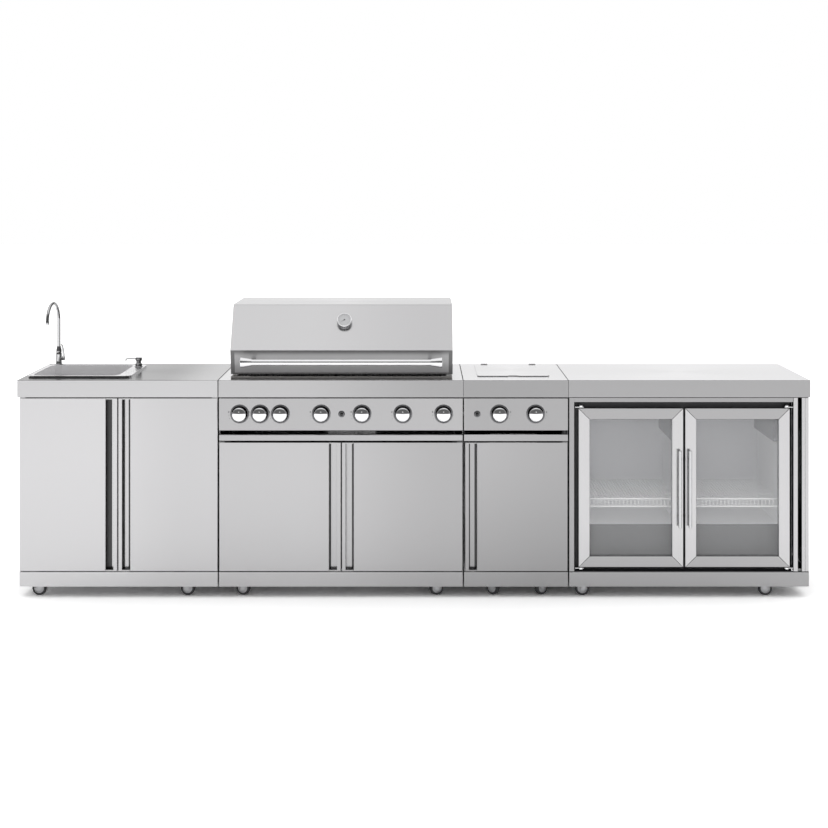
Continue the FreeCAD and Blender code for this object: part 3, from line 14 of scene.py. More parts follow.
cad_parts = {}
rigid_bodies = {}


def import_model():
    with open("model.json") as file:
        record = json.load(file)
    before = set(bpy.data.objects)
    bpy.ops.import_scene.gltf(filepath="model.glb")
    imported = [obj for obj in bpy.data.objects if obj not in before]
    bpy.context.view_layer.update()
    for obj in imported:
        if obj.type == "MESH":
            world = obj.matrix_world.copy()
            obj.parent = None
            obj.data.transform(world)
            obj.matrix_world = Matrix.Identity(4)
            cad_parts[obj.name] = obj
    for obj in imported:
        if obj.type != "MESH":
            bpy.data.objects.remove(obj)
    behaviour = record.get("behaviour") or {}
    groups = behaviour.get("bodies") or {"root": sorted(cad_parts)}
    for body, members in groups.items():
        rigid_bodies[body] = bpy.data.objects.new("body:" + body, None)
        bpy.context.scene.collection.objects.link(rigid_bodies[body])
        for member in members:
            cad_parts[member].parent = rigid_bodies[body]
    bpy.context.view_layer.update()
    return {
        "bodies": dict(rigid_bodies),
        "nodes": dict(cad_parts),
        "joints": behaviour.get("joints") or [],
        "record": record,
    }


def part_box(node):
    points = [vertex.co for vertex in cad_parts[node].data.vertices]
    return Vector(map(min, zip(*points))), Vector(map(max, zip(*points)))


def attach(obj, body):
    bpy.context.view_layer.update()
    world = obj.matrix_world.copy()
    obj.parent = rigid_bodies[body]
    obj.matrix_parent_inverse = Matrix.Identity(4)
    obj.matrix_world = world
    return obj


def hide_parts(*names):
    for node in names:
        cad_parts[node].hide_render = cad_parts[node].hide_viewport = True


LOG = logging.getLogger("kitchen")
Obj = bpy.types.Object
Material = bpy.types.Material
Tree = bpy.types.NodeTree
Socket = bpy.types.NodeSocket
Pair = Tuple[float, float]
Point = Tuple[float, float, float]
Box = Tuple[Vector, Vector]
Test = Callable[[Vector, Vector], bool]
ROOT = "island"
MM = 0.001
# Edges sharper than this stay sharp; corners nearer than WELD are one; a normal's Z above FACES_UP faces up
SMOOTH_ANGLE = 35.0
WELD = 1e-6
FACES_UP = 0.7
# Widths of softened edges on worktops, on sheets and on small plates
TOP_FOLD = 0.0016
SHEET_FOLD = 0.0008
PLATE_FOLD = 0.0006
# Heights where the fridge's painted glow changes; how far a sideways face is painted dark from which turn
SHELF_LEVELS = (0.37, 0.42)
STRIPE = (0.2, 0.6)
STRIPE_SHADE = 0.3
ANISOTROPY = 0.4


class Axis(Enum):
    """The direction in which a turned piece's axis points."""

    X = (1.0, 0.0, 0.0)
    Y = (0.0, 1.0, 0.0)
    Z = (0.0, 0.0, 1.0)


class Grain(Enum):
    """Direction in which a sheet was brushed."""

    ALONG_X = (1.2, 160.0, 160.0)
    ALONG_Z = (160.0, 160.0, 1.2)


# Shader nodes

def new_node(tree: Tree, kind: str, inputs: Dict, **settings: object) -> bpy.types.Node:
    """Add a node.

    Args:
        tree: Tree to add to.
        kind: Blender's name of the node.
        inputs: Socket or value of each input, by its name or place.
        settings: The node's own options.

    Returns:
        The node.
    """
    node = tree.nodes.new(kind)
    for label, option in settings.items():
        setattr(node, label, option)
    for key, value in inputs.items():
        if isinstance(value, Socket):
            tree.links.new(value, node.inputs[key])
        else:
            node.inputs[key].default_value = value
    return node


def math_node(tree: Tree, operation: str, *values: object) -> Socket:
    """Result of a math node.

    Args:
        tree: Tree to add to.
        operation: Blender's name of the operation.
        values: Sockets or numbers.

    Returns:
        The result's socket.
    """
    return new_node(tree, "ShaderNodeMath", dict(enumerate(values)), operation=operation).outputs[0]


def times(tree: Tree, first: object, second: object) -> Socket:
    """Product of two sockets or numbers."""
    return math_node(tree, "MULTIPLY", first, second)


def ramp(tree: Tree, *values: object) -> Socket:
    """Smoothly map a value from one range to another.

    Args:
        tree: Tree to add to.
        values: The value, the two ends of its range, and the results at those ends.

    Returns:
        The mapped socket.
    """
    node = new_node(tree, "ShaderNodeMapRange", dict(enumerate(values)), interpolation_type="SMOOTHSTEP")
    return node.outputs[0]


def noise(tree: Tree, place: Socket, scale: object, detail: float) -> Socket:
    """Value of a noise texture at a place."""
    inputs = {"Vector": place, "Scale": scale, "Detail": detail}
    return new_node(tree, "ShaderNodeTexNoise", inputs).outputs[0]


def split(tree: Tree, vector: Socket) -> bpy.types.NodeOutputs:
    """The X, Y and Z of a vector."""
    return new_node(tree, "ShaderNodeSeparateXYZ", {0: vector}).outputs


def scaled(tree: Tree, colour: Socket, factor: Socket) -> Socket:
    """A colour times a factor."""
    return new_node(tree, "ShaderNodeVectorMath", {0: colour, "Scale": factor}, operation="SCALE").outputs[0]


def object_place(tree: Tree) -> Socket:
    """Object coordinates."""
    return tree.nodes.new("ShaderNodeTexCoord").outputs["Object"]


def new_group(name: str, inputs: Dict[str, object]) -> Tree:
    """Make a shader group that puts out Color, Roughness and Normal.

    Args:
        name: Group name.
        inputs: Default value of each input: a number, a vector or a colour.

    Returns:
        The group's tree, with its input and output nodes.
    """
    tree = bpy.data.node_groups.new(name, "ShaderNodeTree")
    kinds = {1: "NodeSocketFloat", 3: "NodeSocketVector", 4: "NodeSocketColor"}
    for label, value in inputs.items():
        size = len(value) if isinstance(value, tuple) else 1
        socket = tree.interface.new_socket(label, in_out="INPUT", socket_type=kinds[size])
        socket.default_value = value
    for label, size in (("Color", 4), ("Roughness", 1), ("Normal", 3)):
        tree.interface.new_socket(label, in_out="OUTPUT", socket_type=kinds[size])
    tree.nodes.new("NodeGroupInput").name = "in"
    tree.nodes.new("NodeGroupOutput").name = "out"
    return tree


def close_group(tree: Tree, colour: Socket, roughness: Socket, bump: Dict[str, object]) -> None:
    """Link a group's results to its outputs.

    Args:
        tree: The group's tree.
        colour: Its colour.
        roughness: Its roughness.
        bump: Inputs of the bump node that gives its normal.
    """
    normal = new_node(tree, "ShaderNodeBump", bump).outputs[0]
    for label, value in (("Color", colour), ("Roughness", roughness), ("Normal", normal)):
        tree.links.new(value, tree.nodes["out"].inputs[label])


def brushed_group() -> Tree:
    """Brushed sheet: fine streaks, faint clouding, and painted light and shade as a tone that runs along Z
    and X.

    Returns:
        The node group.
    """
    tree = new_group("BrushedSheet", {
        "Tone": 0.7, "Roughness": 0.3, "Streak Scale": (1.0, 100.0, 100.0), "Streak Strength": 0.06,
        "Low Tone": 1.0, "Foot": 0.0, "Head": 1.0, "Right Tone": 1.0, "Left End": 0.0, "Right End": 1.0})
    source = tree.nodes["in"].outputs
    place = object_place(tree)
    along = split(tree, place)
    mapping = new_node(tree, "ShaderNodeMapping", {"Vector": place, "Scale": source["Streak Scale"]})
    streaks = noise(tree, mapping.outputs[0], 6.0, 4.0)
    clouds = noise(tree, place, 1.7, 3.0)
    rise = ramp(tree, along["Z"], source["Foot"], source["Head"], source["Low Tone"], 1.0)
    run = ramp(tree, along["X"], source["Left End"], source["Right End"], 1.0, source["Right Tone"])
    streak = times(tree, math_node(tree, "SUBTRACT", streaks, 0.5), source["Streak Strength"])
    cloud = times(tree, math_node(tree, "SUBTRACT", clouds, 0.5), 0.05)
    varied = math_node(tree, "ADD", 1.0, math_node(tree, "ADD", streak, cloud))
    tone = times(tree, times(tree, source["Tone"], varied), times(tree, rise, run))
    tints = {"Red": 1.0, "Green": 0.992, "Blue": 1.006}
    tones = {label: times(tree, tone, tint) for label, tint in tints.items()}
    colour = new_node(tree, "ShaderNodeCombineColor", tones)
    rough = math_node(tree, "ADD", source["Roughness"], times(tree, streak, 1.2))
    close_group(tree, colour.outputs[0], math_node(tree, "ADD", rough, cloud),
                {"Strength": 0.05, "Distance": 0.0004, "Height": streaks})
    return tree


def fine_group() -> Tree:
    """Cast, moulded or polished surface: speckle, clouding and a fine normal.

    Returns:
        The node group.
    """
    tree = new_group("FineSurface", {"Base": (0.5, 0.5, 0.5, 1.0), "Roughness": 0.3, "Speckle Scale": 300.0,
                                     "Variation": 0.1, "Bump": 0.05})
    source = tree.nodes["in"].outputs
    place = object_place(tree)
    speckle = noise(tree, place, source["Speckle Scale"], 3.0)
    both = math_node(tree, "ADD", speckle, noise(tree, place, 14.0, 2.0))
    offset = times(tree, math_node(tree, "SUBTRACT", both, 1.0), source["Variation"])
    colour = scaled(tree, source["Base"], math_node(tree, "ADD", 1.0, offset))
    rough = math_node(tree, "ADD", source["Roughness"], times(tree, offset, 0.5))
    close_group(tree, colour, rough, {"Strength": source["Bump"], "Distance": 0.0005, "Height": speckle})
    return tree


def new_material(name: str) -> Tuple[Material, Tree, bpy.types.Node]:
    """Make a material.

    Args:
        name: Material name.

    Returns:
        The material, its tree and its Principled node.
    """
    material = bpy.data.materials.new(name)
    material.use_nodes = True
    return material, material.node_tree, material.node_tree.nodes["Principled BSDF"]


class Finishes:
    """All materials of the island, made on first use and kept by name."""

    def __init__(self) -> None:
        """Build the shader groups."""
        self.brushed = brushed_group()
        self.fine = fine_group()
        self.made: Dict[str, Material] = {}

    def of(self, look: "Look") -> Material:
        """Material of a finish.

        Args:
            look: The finish.

        Returns:
            The material.
        """
        if look.name not in self.made:
            self.made[look.name] = look.make(self)
        return self.made[look.name]

    def blend(self, name: str, group: Tree, values: Dict[str, object], direct: Dict[str, object]) -> Material:
        """Make a material whose Principled shader takes its inputs from a group.

        Args:
            name: Material name.
            group: Shader group.
            values: Inputs of the group.
            direct: Inputs of the shader that are the same all over.

        Returns:
            The material.
        """
        material, tree, shader = new_material(name)
        surface = new_node(tree, "ShaderNodeGroup", values, node_tree=group).outputs
        for label, source in (("Base Color", "Color"), ("Roughness", "Roughness"), ("Normal", "Normal")):
            tree.links.new(surface[source], shader.inputs[label])
        for label, value in direct.items():
            shader.inputs[label].default_value = value
        return material


@dataclass(frozen=True)
class Steel:
    """A brushed sheet finish.

    Attributes:
        name: Material name.
        tone: Linear grey of the bare sheet.
        grain: Brushing direction.
        roughness: Middle roughness.
        low_tone: Factor on the tone at the foot of the piece, as painted light and shade.
        span: Heights between which the tone runs from low to full.
        right_tone: Factor on the tone at the right end, as painted light and shade.
        reach: Places along X between which the tone runs from full to right_tone.
        metallic: Metallic value.
        edge: Tone of the reflection at a grazing angle.
    """

    name: str
    tone: float
    grain: Grain = Grain.ALONG_X
    roughness: float = 0.2
    low_tone: float = 1.0
    span: Pair = (0.0, 1.0)
    right_tone: float = 1.0
    reach: Pair = (0.0, 1.0)
    metallic: float = 1.0
    edge: float = 1.0

    def make(self, finishes: Finishes) -> Material:
        """Make the material.

        Args:
            finishes: Holder of the shader groups.

        Returns:
            The material.
        """
        tint = (self.edge, self.edge, self.edge, 1.0)
        return finishes.blend(self.name, finishes.brushed, {
            "Tone": self.tone, "Roughness": self.roughness, "Streak Scale": self.grain.value,
            "Low Tone": self.low_tone, "Foot": self.span[0], "Head": self.span[1],
            "Right Tone": self.right_tone, "Left End": self.reach[0], "Right End": self.reach[1],
        }, {"Metallic": self.metallic, "Specular Tint": tint, "Anisotropic": ANISOTROPY})


@dataclass(frozen=True)
class Fine:
    """A cast, moulded, polished or glass finish.

    Attributes:
        name: Material name.
        base: Linear colour.
        roughness: Middle roughness.
        metallic: Metallic value.
        variation: Strength of the tone variation.
        bump: Strength of the fine normal.
        speckle: Scale of the speckle.
        direct: One more input of the shader and its value.
        glow: Strength of a faint painted glow below and above the fridge shelves, lighting the inside.
        painted_dark_sides: Whether faces that turn sideways get a painted dark reflection, to stand out on
            white.
    """

    name: str
    base: Point
    roughness: float
    metallic: float = 0.0
    variation: float = 0.08
    bump: float = 0.03
    speckle: float = 300.0
    direct: Tuple[str, float] = ("Alpha", 1.0)
    glow: Optional[Pair] = None
    painted_dark_sides: bool = False

    def make(self, finishes: Finishes) -> Material:
        """Make the material.

        Args:
            finishes: Holder of the shader groups.

        Returns:
            The material.
        """
        material = finishes.blend(self.name, finishes.fine, {
            "Base": (*self.base, 1.0), "Roughness": self.roughness, "Speckle Scale": self.speckle,
            "Variation": self.variation, "Bump": self.bump,
        }, {"Metallic": self.metallic, self.direct[0]: self.direct[1]})
        tree = material.node_tree
        inputs = tree.nodes["Principled BSDF"].inputs
        # Painted glow: the surface emits a little light, changing between the shelf heights
        if self.glow is not None:
            inputs["Emission Color"].default_value = (1.0, 1.0, 1.0, 1.0)
            height = split(tree, object_place(tree))["Z"]
            tree.links.new(ramp(tree, height, *SHELF_LEVELS, *self.glow), inputs["Emission Strength"])
        # Painted dark reflection: faces that turn sideways are darkened in the base colour
        if self.painted_dark_sides:
            normal = tree.nodes.new("ShaderNodeNewGeometry").outputs["Normal"]
            aside = math_node(tree, "ABSOLUTE", split(tree, normal)["X"])
            shade_factor = ramp(tree, aside, *STRIPE, 1.0, STRIPE_SHADE)
            colour = scaled(tree, inputs["Base Color"].links[0].from_socket, shade_factor)
            tree.links.new(colour, inputs["Base Color"])
        return material


Look = Union[Steel, Fine]

# Finishes of the sheets

# Runs of tone along Z and X on these sheets are painted light and shade
SINK_SIDE = Steel("sink_side_steel", 0.508, low_tone=0.953, span=(0.15, 0.75), right_tone=0.905,
                  reach=(-1.35, -0.95))
GRILL_SIDE = Steel("grill_side_steel", 0.426, low_tone=0.95, span=(0.1, 0.6), right_tone=0.795,
                   reach=(-0.5, 0.2))
BURNER_SIDE = Steel("burner_side_steel", 0.355, low_tone=0.83, span=(0.1, 0.7), right_tone=0.9,
                    reach=(0.2, 0.65))
FRIDGE_SIDE = Steel("fridge_side_steel", 0.305, roughness=0.22)
FRIDGE_COLUMN = Steel("fridge_column_steel", 0.46, Grain.ALONG_Z, 0.22)
# Painted light: a lighter copy of the sheets' steel for faces that face up, and for the burner lid
LIT_TOP_FACE = Steel("top_face_painted_light", 0.73, roughness=0.22)
# Painted reflection on the sink worktop's top: darker at its left, lighter towards its right
SINK_LIT_TOP_FACE = Steel("sink_top_face_painted_light", 0.28, right_tone=2.4, reach=(-1.08, -0.84), edge=0.78)
# Painted shade for the cabinet doors' finger channels
PULL_SHADE = Steel("pull_channel_painted_shade", 0.065, Grain.ALONG_Z, 0.3)
STILE = Steel("fridge_stile_steel", 0.483, Grain.ALONG_Z)
RAIL = Steel("fridge_rail_steel", 0.335)
HOOD = Steel("hood_steel", 0.58, roughness=0.22, right_tone=0.9, reach=(-0.5, 0.1))
# Painted shade and dark reflection on the hood's upright band, lighter towards its foot
BAND_SHADE = Steel("hood_band_painted_shade", 0.135, roughness=0.3, low_tone=3.0, span=(1.008, 1.034), metallic=0.2)
# Painted highlight on the hood's slope near its ends
HOOD_HIGHLIGHT = Steel("hood_slope_painted_highlight", 0.66, Grain.ALONG_Z, right_tone=1.35, reach=(-0.5, 0.1))
HOOD_SHADE = Steel("hood_shade_steel", 0.16, Grain.ALONG_Z, 0.35, metallic=0.2)
PANEL = Steel("panel_steel", 0.375, right_tone=0.86, reach=(0.19, 0.23))
# Painted shade in the sink's bowl, darker towards its floor
BOWL_SHADE = Steel("bowl_steel", 0.9, roughness=0.4, low_tone=0.45, span=(0.80, 0.895), metallic=0.5)
RIM = Steel("sink_rim_steel", 0.8, roughness=0.25)
# Painted shade on the sink rim's upright faces
RIM_UPRIGHT_SHADE = Steel("sink_rim_upright_painted_shade", 0.16, roughness=0.3)
TOPS = {
    "sink_worktop": Steel("sink_top_steel", 0.465),
    "grill_worktop": Steel("grill_top_steel", 0.41, right_tone=0.756, reach=(-0.6, 0.2)),
    "side_burner_worktop": Steel("burner_top_steel", 0.29),
    "fridge_worktop": Steel("fridge_top_steel", 0.316),
}
CABINETS = {"sink_cabinet": SINK_SIDE, "grill_cabinet": GRILL_SIDE, "side_burner_cabinet": BURNER_SIDE}

# Finishes of turned, cast and moulded pieces

CHROME = Fine("bright_chrome", (0.80, 0.80, 0.81), 0.08, 1.0, 0.04, 0.01)
# Darker chrome with a painted dark reflection on the sideways faces of tap and soap dispenser
TAP = Fine("tap_chrome_painted_reflection", (0.58, 0.58, 0.59), 0.1, 1.0, 0.04, 0.01, painted_dark_sides=True)
BAR = Fine("polished_bar", (0.78, 0.78, 0.79), 0.14, 1.0, 0.05, 0.01)
DOOR_BAR = Fine("fridge_pull", (0.52, 0.52, 0.53), 0.22, 1.0, 0.05, 0.01)
# Dark chrome painting a dark reflection on bezels, igniter collars and pull posts, with a lighter rim
DARK_REFLECTION_CHROME = Fine("chrome_painted_dark_reflection", (0.13, 0.13, 0.135), 0.15, 1.0, 0.05, 0.01)
RING = Fine("bezel_rim_painted_reflection", (0.35, 0.35, 0.355), 0.15, 1.0, 0.05, 0.01)
BLACK = Fine("black_plastic", (0.012, 0.012, 0.013), 0.25, 0.0, 0.2, 0.02)
WHITE = Fine("white_dot", (0.82, 0.82, 0.82), 0.4)
DIAL = Fine("dial_face", (0.52, 0.52, 0.53), 0.35, 0.6)
# Painted shadow in the seams between worktops
SEAM_SHADOW = Fine("seam_shadow", (0.03, 0.03, 0.03), 0.6, 0.0, 0.05, 0.0)
RUBBER = Fine("tyre_rubber", (0.03, 0.03, 0.032), 0.6, 0.0, 0.2, 0.1)
HUB = Fine("wheel_hub", (0.42, 0.42, 0.43), 0.4, 0.6, 0.1, 0.05)
ZINC = Fine("zinc_plate", (0.42, 0.42, 0.43), 0.35, 1.0, 0.2, 0.05)
IRON = Fine("cast_iron", (0.03, 0.03, 0.03), 0.7, 0.0, 0.3, 0.3)
ALLOY = Fine("cast_alloy", (0.5, 0.5, 0.5), 0.4, 1.0, 0.2, 0.1)
BURNT = Fine("heat_steel", (0.32, 0.31, 0.30), 0.4, 1.0, 0.25, 0.05, 40.0)
WIRE = Fine("bright_wire", (0.75, 0.75, 0.77), 0.2, 1.0)
COATED = Fine("coated_wire", (0.95, 0.95, 0.95), 0.35)
GLASS = Fine("door_glass", (0.85, 0.86, 0.87), 0.03, 0.0, 0.01, 0.0, 6.0, ("Alpha", 0.12))
CASE = Fine("fridge_case", (0.045, 0.045, 0.05), 0.45, 0.0, 0.15, 0.05)
# The liner and back wall get a painted glow that lights the fridge's inside
LINER = Fine("fridge_liner", (0.92, 0.92, 0.93), 0.35, 0.0, 0.04, 0.02, glow=(0.035, 0.008))
BACK_WALL = Fine("fridge_back_wall", (0.90, 0.90, 0.93), 0.35, 0.0, 0.04, 0.02, glow=(0.075, 0.0))
HOUSING = Fine("fridge_housing", (0.30, 0.30, 0.32), 0.4, 0.0, 0.06, 0.03)
# Painted shade on the upright front of the fridge's floor step
RISER_SHADE = Fine("fridge_riser_painted_shade", (0.10, 0.10, 0.105), 0.45, 0.0, 0.06, 0.03)
# Painted shade, without reflection, in the gap below the fridge doors
FLANGE_SHADE = Fine("fridge_flange_painted_shade", (0.02, 0.02, 0.022), 0.6, 0.0, 0.1, direct=("Specular IOR Level", 0.0))


# Meshes

def show(name: str, mesh: bpy.types.Mesh) -> Obj:
    """Put a mesh into the scene as an object.

    Args:
        name: Object name.
        mesh: Its mesh.

    Returns:
        The object.
    """
    obj = bpy.data.objects.new(name, mesh)
    bpy.context.scene.collection.objects.link(obj)
    return obj


def mesh_object(name: str, points: Sequence[Vector], faces: Sequence[Sequence[int]], material: Material,
                smooth_angle: float = SMOOTH_ANGLE) -> Obj:
    """Make an object with smooth shading up to an angle.

    Args:
        name: Object name.
        points: Its corners.
        faces: Indices of each face's corners.
        material: Its material.
        smooth_angle: Edges sharper than this stay sharp, in degrees.

    Returns:
        The object.
    """
    mesh = bpy.data.meshes.new(name)
    mesh.from_pydata([tuple(point) for point in points], [], faces)
    mesh.update()
    mesh.materials.append(material)
    obj = show(name, mesh)
    shade(obj, smooth_angle)
    return obj


def shade(obj: Obj, angle: float) -> None:
    """Smooth shading with sharp edges above an angle.

    Args:
        obj: Object to shade.
        angle: Sharp edge limit in degrees.
    """
    bm = bmesh.new()
    bm.from_mesh(obj.data)
    bmesh.ops.recalc_face_normals(bm, faces=bm.faces)
    for face in bm.faces:
        face.smooth = True
    for edge in bm.edges:
        edge.smooth = not (edge.is_manifold and edge.calc_face_angle(0.0) > math.radians(angle))
    bm.to_mesh(obj.data)
    bm.free()


def soften(obj: Obj, width: float, segments: int = 2) -> Obj:
    """Round an object's sharp edges and bake the result.

    Args:
        obj: Object to change.
        width: Width of the rounding.
        segments: Faces across the rounding.

    Returns:
        The object.
    """
    bevel = obj.modifiers.new("edges", "BEVEL")
    bevel.width = width
    bevel.segments = segments
    bevel.limit_method = "ANGLE"
    bevel.angle_limit = math.radians(SMOOTH_ANGLE)
    bevel.use_clamp_overlap = True
    bevel.miter_outer = "MITER_ARC"
    obj.modifiers.new("normals", "WEIGHTED_NORMAL").keep_sharp = True
    bake(obj)
    return obj


def bake(obj: Obj) -> None:
    """Replace an object's mesh by the result of its modifiers.

    Args:
        obj: Object to change.
    """
    graph = bpy.context.evaluated_depsgraph_get()
    mesh = bpy.data.meshes.new_from_object(obj.evaluated_get(graph))
    obj.modifiers.clear()
    obj.data = mesh


def join(name: str, objects: List[Obj]) -> Obj:
    """Merge several meshes into one object.

    Args:
        name: Name of the result.
        objects: Objects to merge; they are used up.

    Returns:
        The merged object.
    """
    materials = list(dict.fromkeys(slot for obj in objects for slot in obj.data.materials))
    bm = bmesh.new()
    for obj in objects:
        start = len(bm.faces)
        bm.from_mesh(obj.data)
        bm.faces.ensure_lookup_table()
        for face in bm.faces[start:]:
            face.material_index = materials.index(obj.data.materials[face.material_index])
    mesh = bpy.data.meshes.new(name)
    bm.to_mesh(mesh)
    bm.free()
    for material in materials:
        mesh.materials.append(material)
    for obj in objects:
        old = obj.data
        bpy.data.objects.remove(obj)
        bpy.data.meshes.remove(old)
    return show(name, mesh)


def rod(radius: float, start: float, end: float) -> List[Pair]:
    """Outline of a plain round bar, in millimetres."""
    return [(0.0, start), (radius, start), (radius, end), (0.0, end)]


def box_of(points: Sequence[Vector]) -> Box:
    """Lowest and highest corner of some points."""
    return tuple(Vector(pick(point[axis] for point in points) for axis in range(3)) for pick in (min, max))


def merged(node: Obj) -> bmesh.types.BMesh:
    """A CAD node's mesh with its doubled corners merged.

    Args:
        node: The CAD node's object.

    Returns:
        The mesh, for the caller to free.
    """
    bm = bmesh.new()
    bm.from_mesh(node.data)
    bmesh.ops.remove_doubles(bm, verts=bm.verts, dist=WELD)
    return bm


def islands(bm: bmesh.types.BMesh) -> Iterator[List[bmesh.types.BMVert]]:
    """The separate solids of a mesh.

    Args:
        bm: Mesh to search.

    Yields:
        The vertices of each solid.
    """
    seen = set()
    for start in bm.verts:
        if start in seen:
            continue
        stack, found = [start], []
        seen.add(start)
        while stack:
            vertex = stack.pop()
            found.append(vertex)
            for edge in vertex.link_edges:
                other = edge.other_vert(vertex)
                if other not in seen:
                    seen.add(other)
                    stack.append(other)
        yield found


def drop_inner_faces(bm: bmesh.types.BMesh) -> None:
    """Remove pairs of faces that two touching solids share.

    Args:
        bm: Mesh to change.
    """
    owners: Dict[frozenset, List[bmesh.types.BMFace]] = {}
    for face in bm.faces:
        owners.setdefault(frozenset(face.verts), []).append(face)
    doubled = [face for faces in owners.values() if len(faces) > 1 for face in faces]
    bmesh.ops.delete(bm, geom=doubled, context="FACES")


def middle(node: str) -> Vector:
    """Middle of a CAD node's box."""
    low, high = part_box(node)
    return (Vector(low) + Vector(high)) / 2


def row_group() -> Tree:
    """Geometry Nodes group that repeats a template along a line.

    Returns:
        The group, with inputs Count, Pitch and Material.
    """
    tree = bpy.data.node_groups.new("RowOfPieces", "GeometryNodeTree")
    kinds = {"Geometry": "Geometry", "Count": "Int", "Pitch": "Vector", "Material": "Material"}
    for label, kind in kinds.items():
        tree.interface.new_socket(label, in_out="INPUT", socket_type="NodeSocket" + kind)
    tree.interface.new_socket("Geometry", in_out="OUTPUT", socket_type="NodeSocketGeometry")
    source = tree.nodes.new("NodeGroupInput").outputs
    line = new_node(tree, "GeometryNodeMeshLine", {"Count": source["Count"], "Offset": source["Pitch"]},
                    mode="OFFSET")
    copies = new_node(tree, "GeometryNodeInstanceOnPoints",
                      {"Points": line.outputs["Mesh"], "Instance": source["Geometry"]})
    real = new_node(tree, "GeometryNodeRealizeInstances", {"Geometry": copies.outputs["Instances"]})
    coat = new_node(tree, "GeometryNodeSetMaterial",
                    {"Geometry": real.outputs["Geometry"], "Material": source["Material"]})
    new_node(tree, "NodeGroupOutput", {"Geometry": coat.outputs["Geometry"]})
    return tree


@dataclass
class Piece:
    """A shown piece on its way into the scene.

    Attributes:
        obj: The Blender object.
        body: CAD body that it moves with.
        slot: The record's material slot.
        stands_for: CAD nodes that it replaces.
    """

    obj: Obj
    body: str
    slot: str
    stands_for: Tuple[str, ...]

    def settle(self) -> None:
        """Ride and stand for the CAD nodes."""
        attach(self.obj, self.body)
        if self.stands_for:
            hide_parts(*self.stands_for)
        LOG.info("%s rides %s with %d faces", self.obj.name, self.body, len(self.obj.data.polygons))


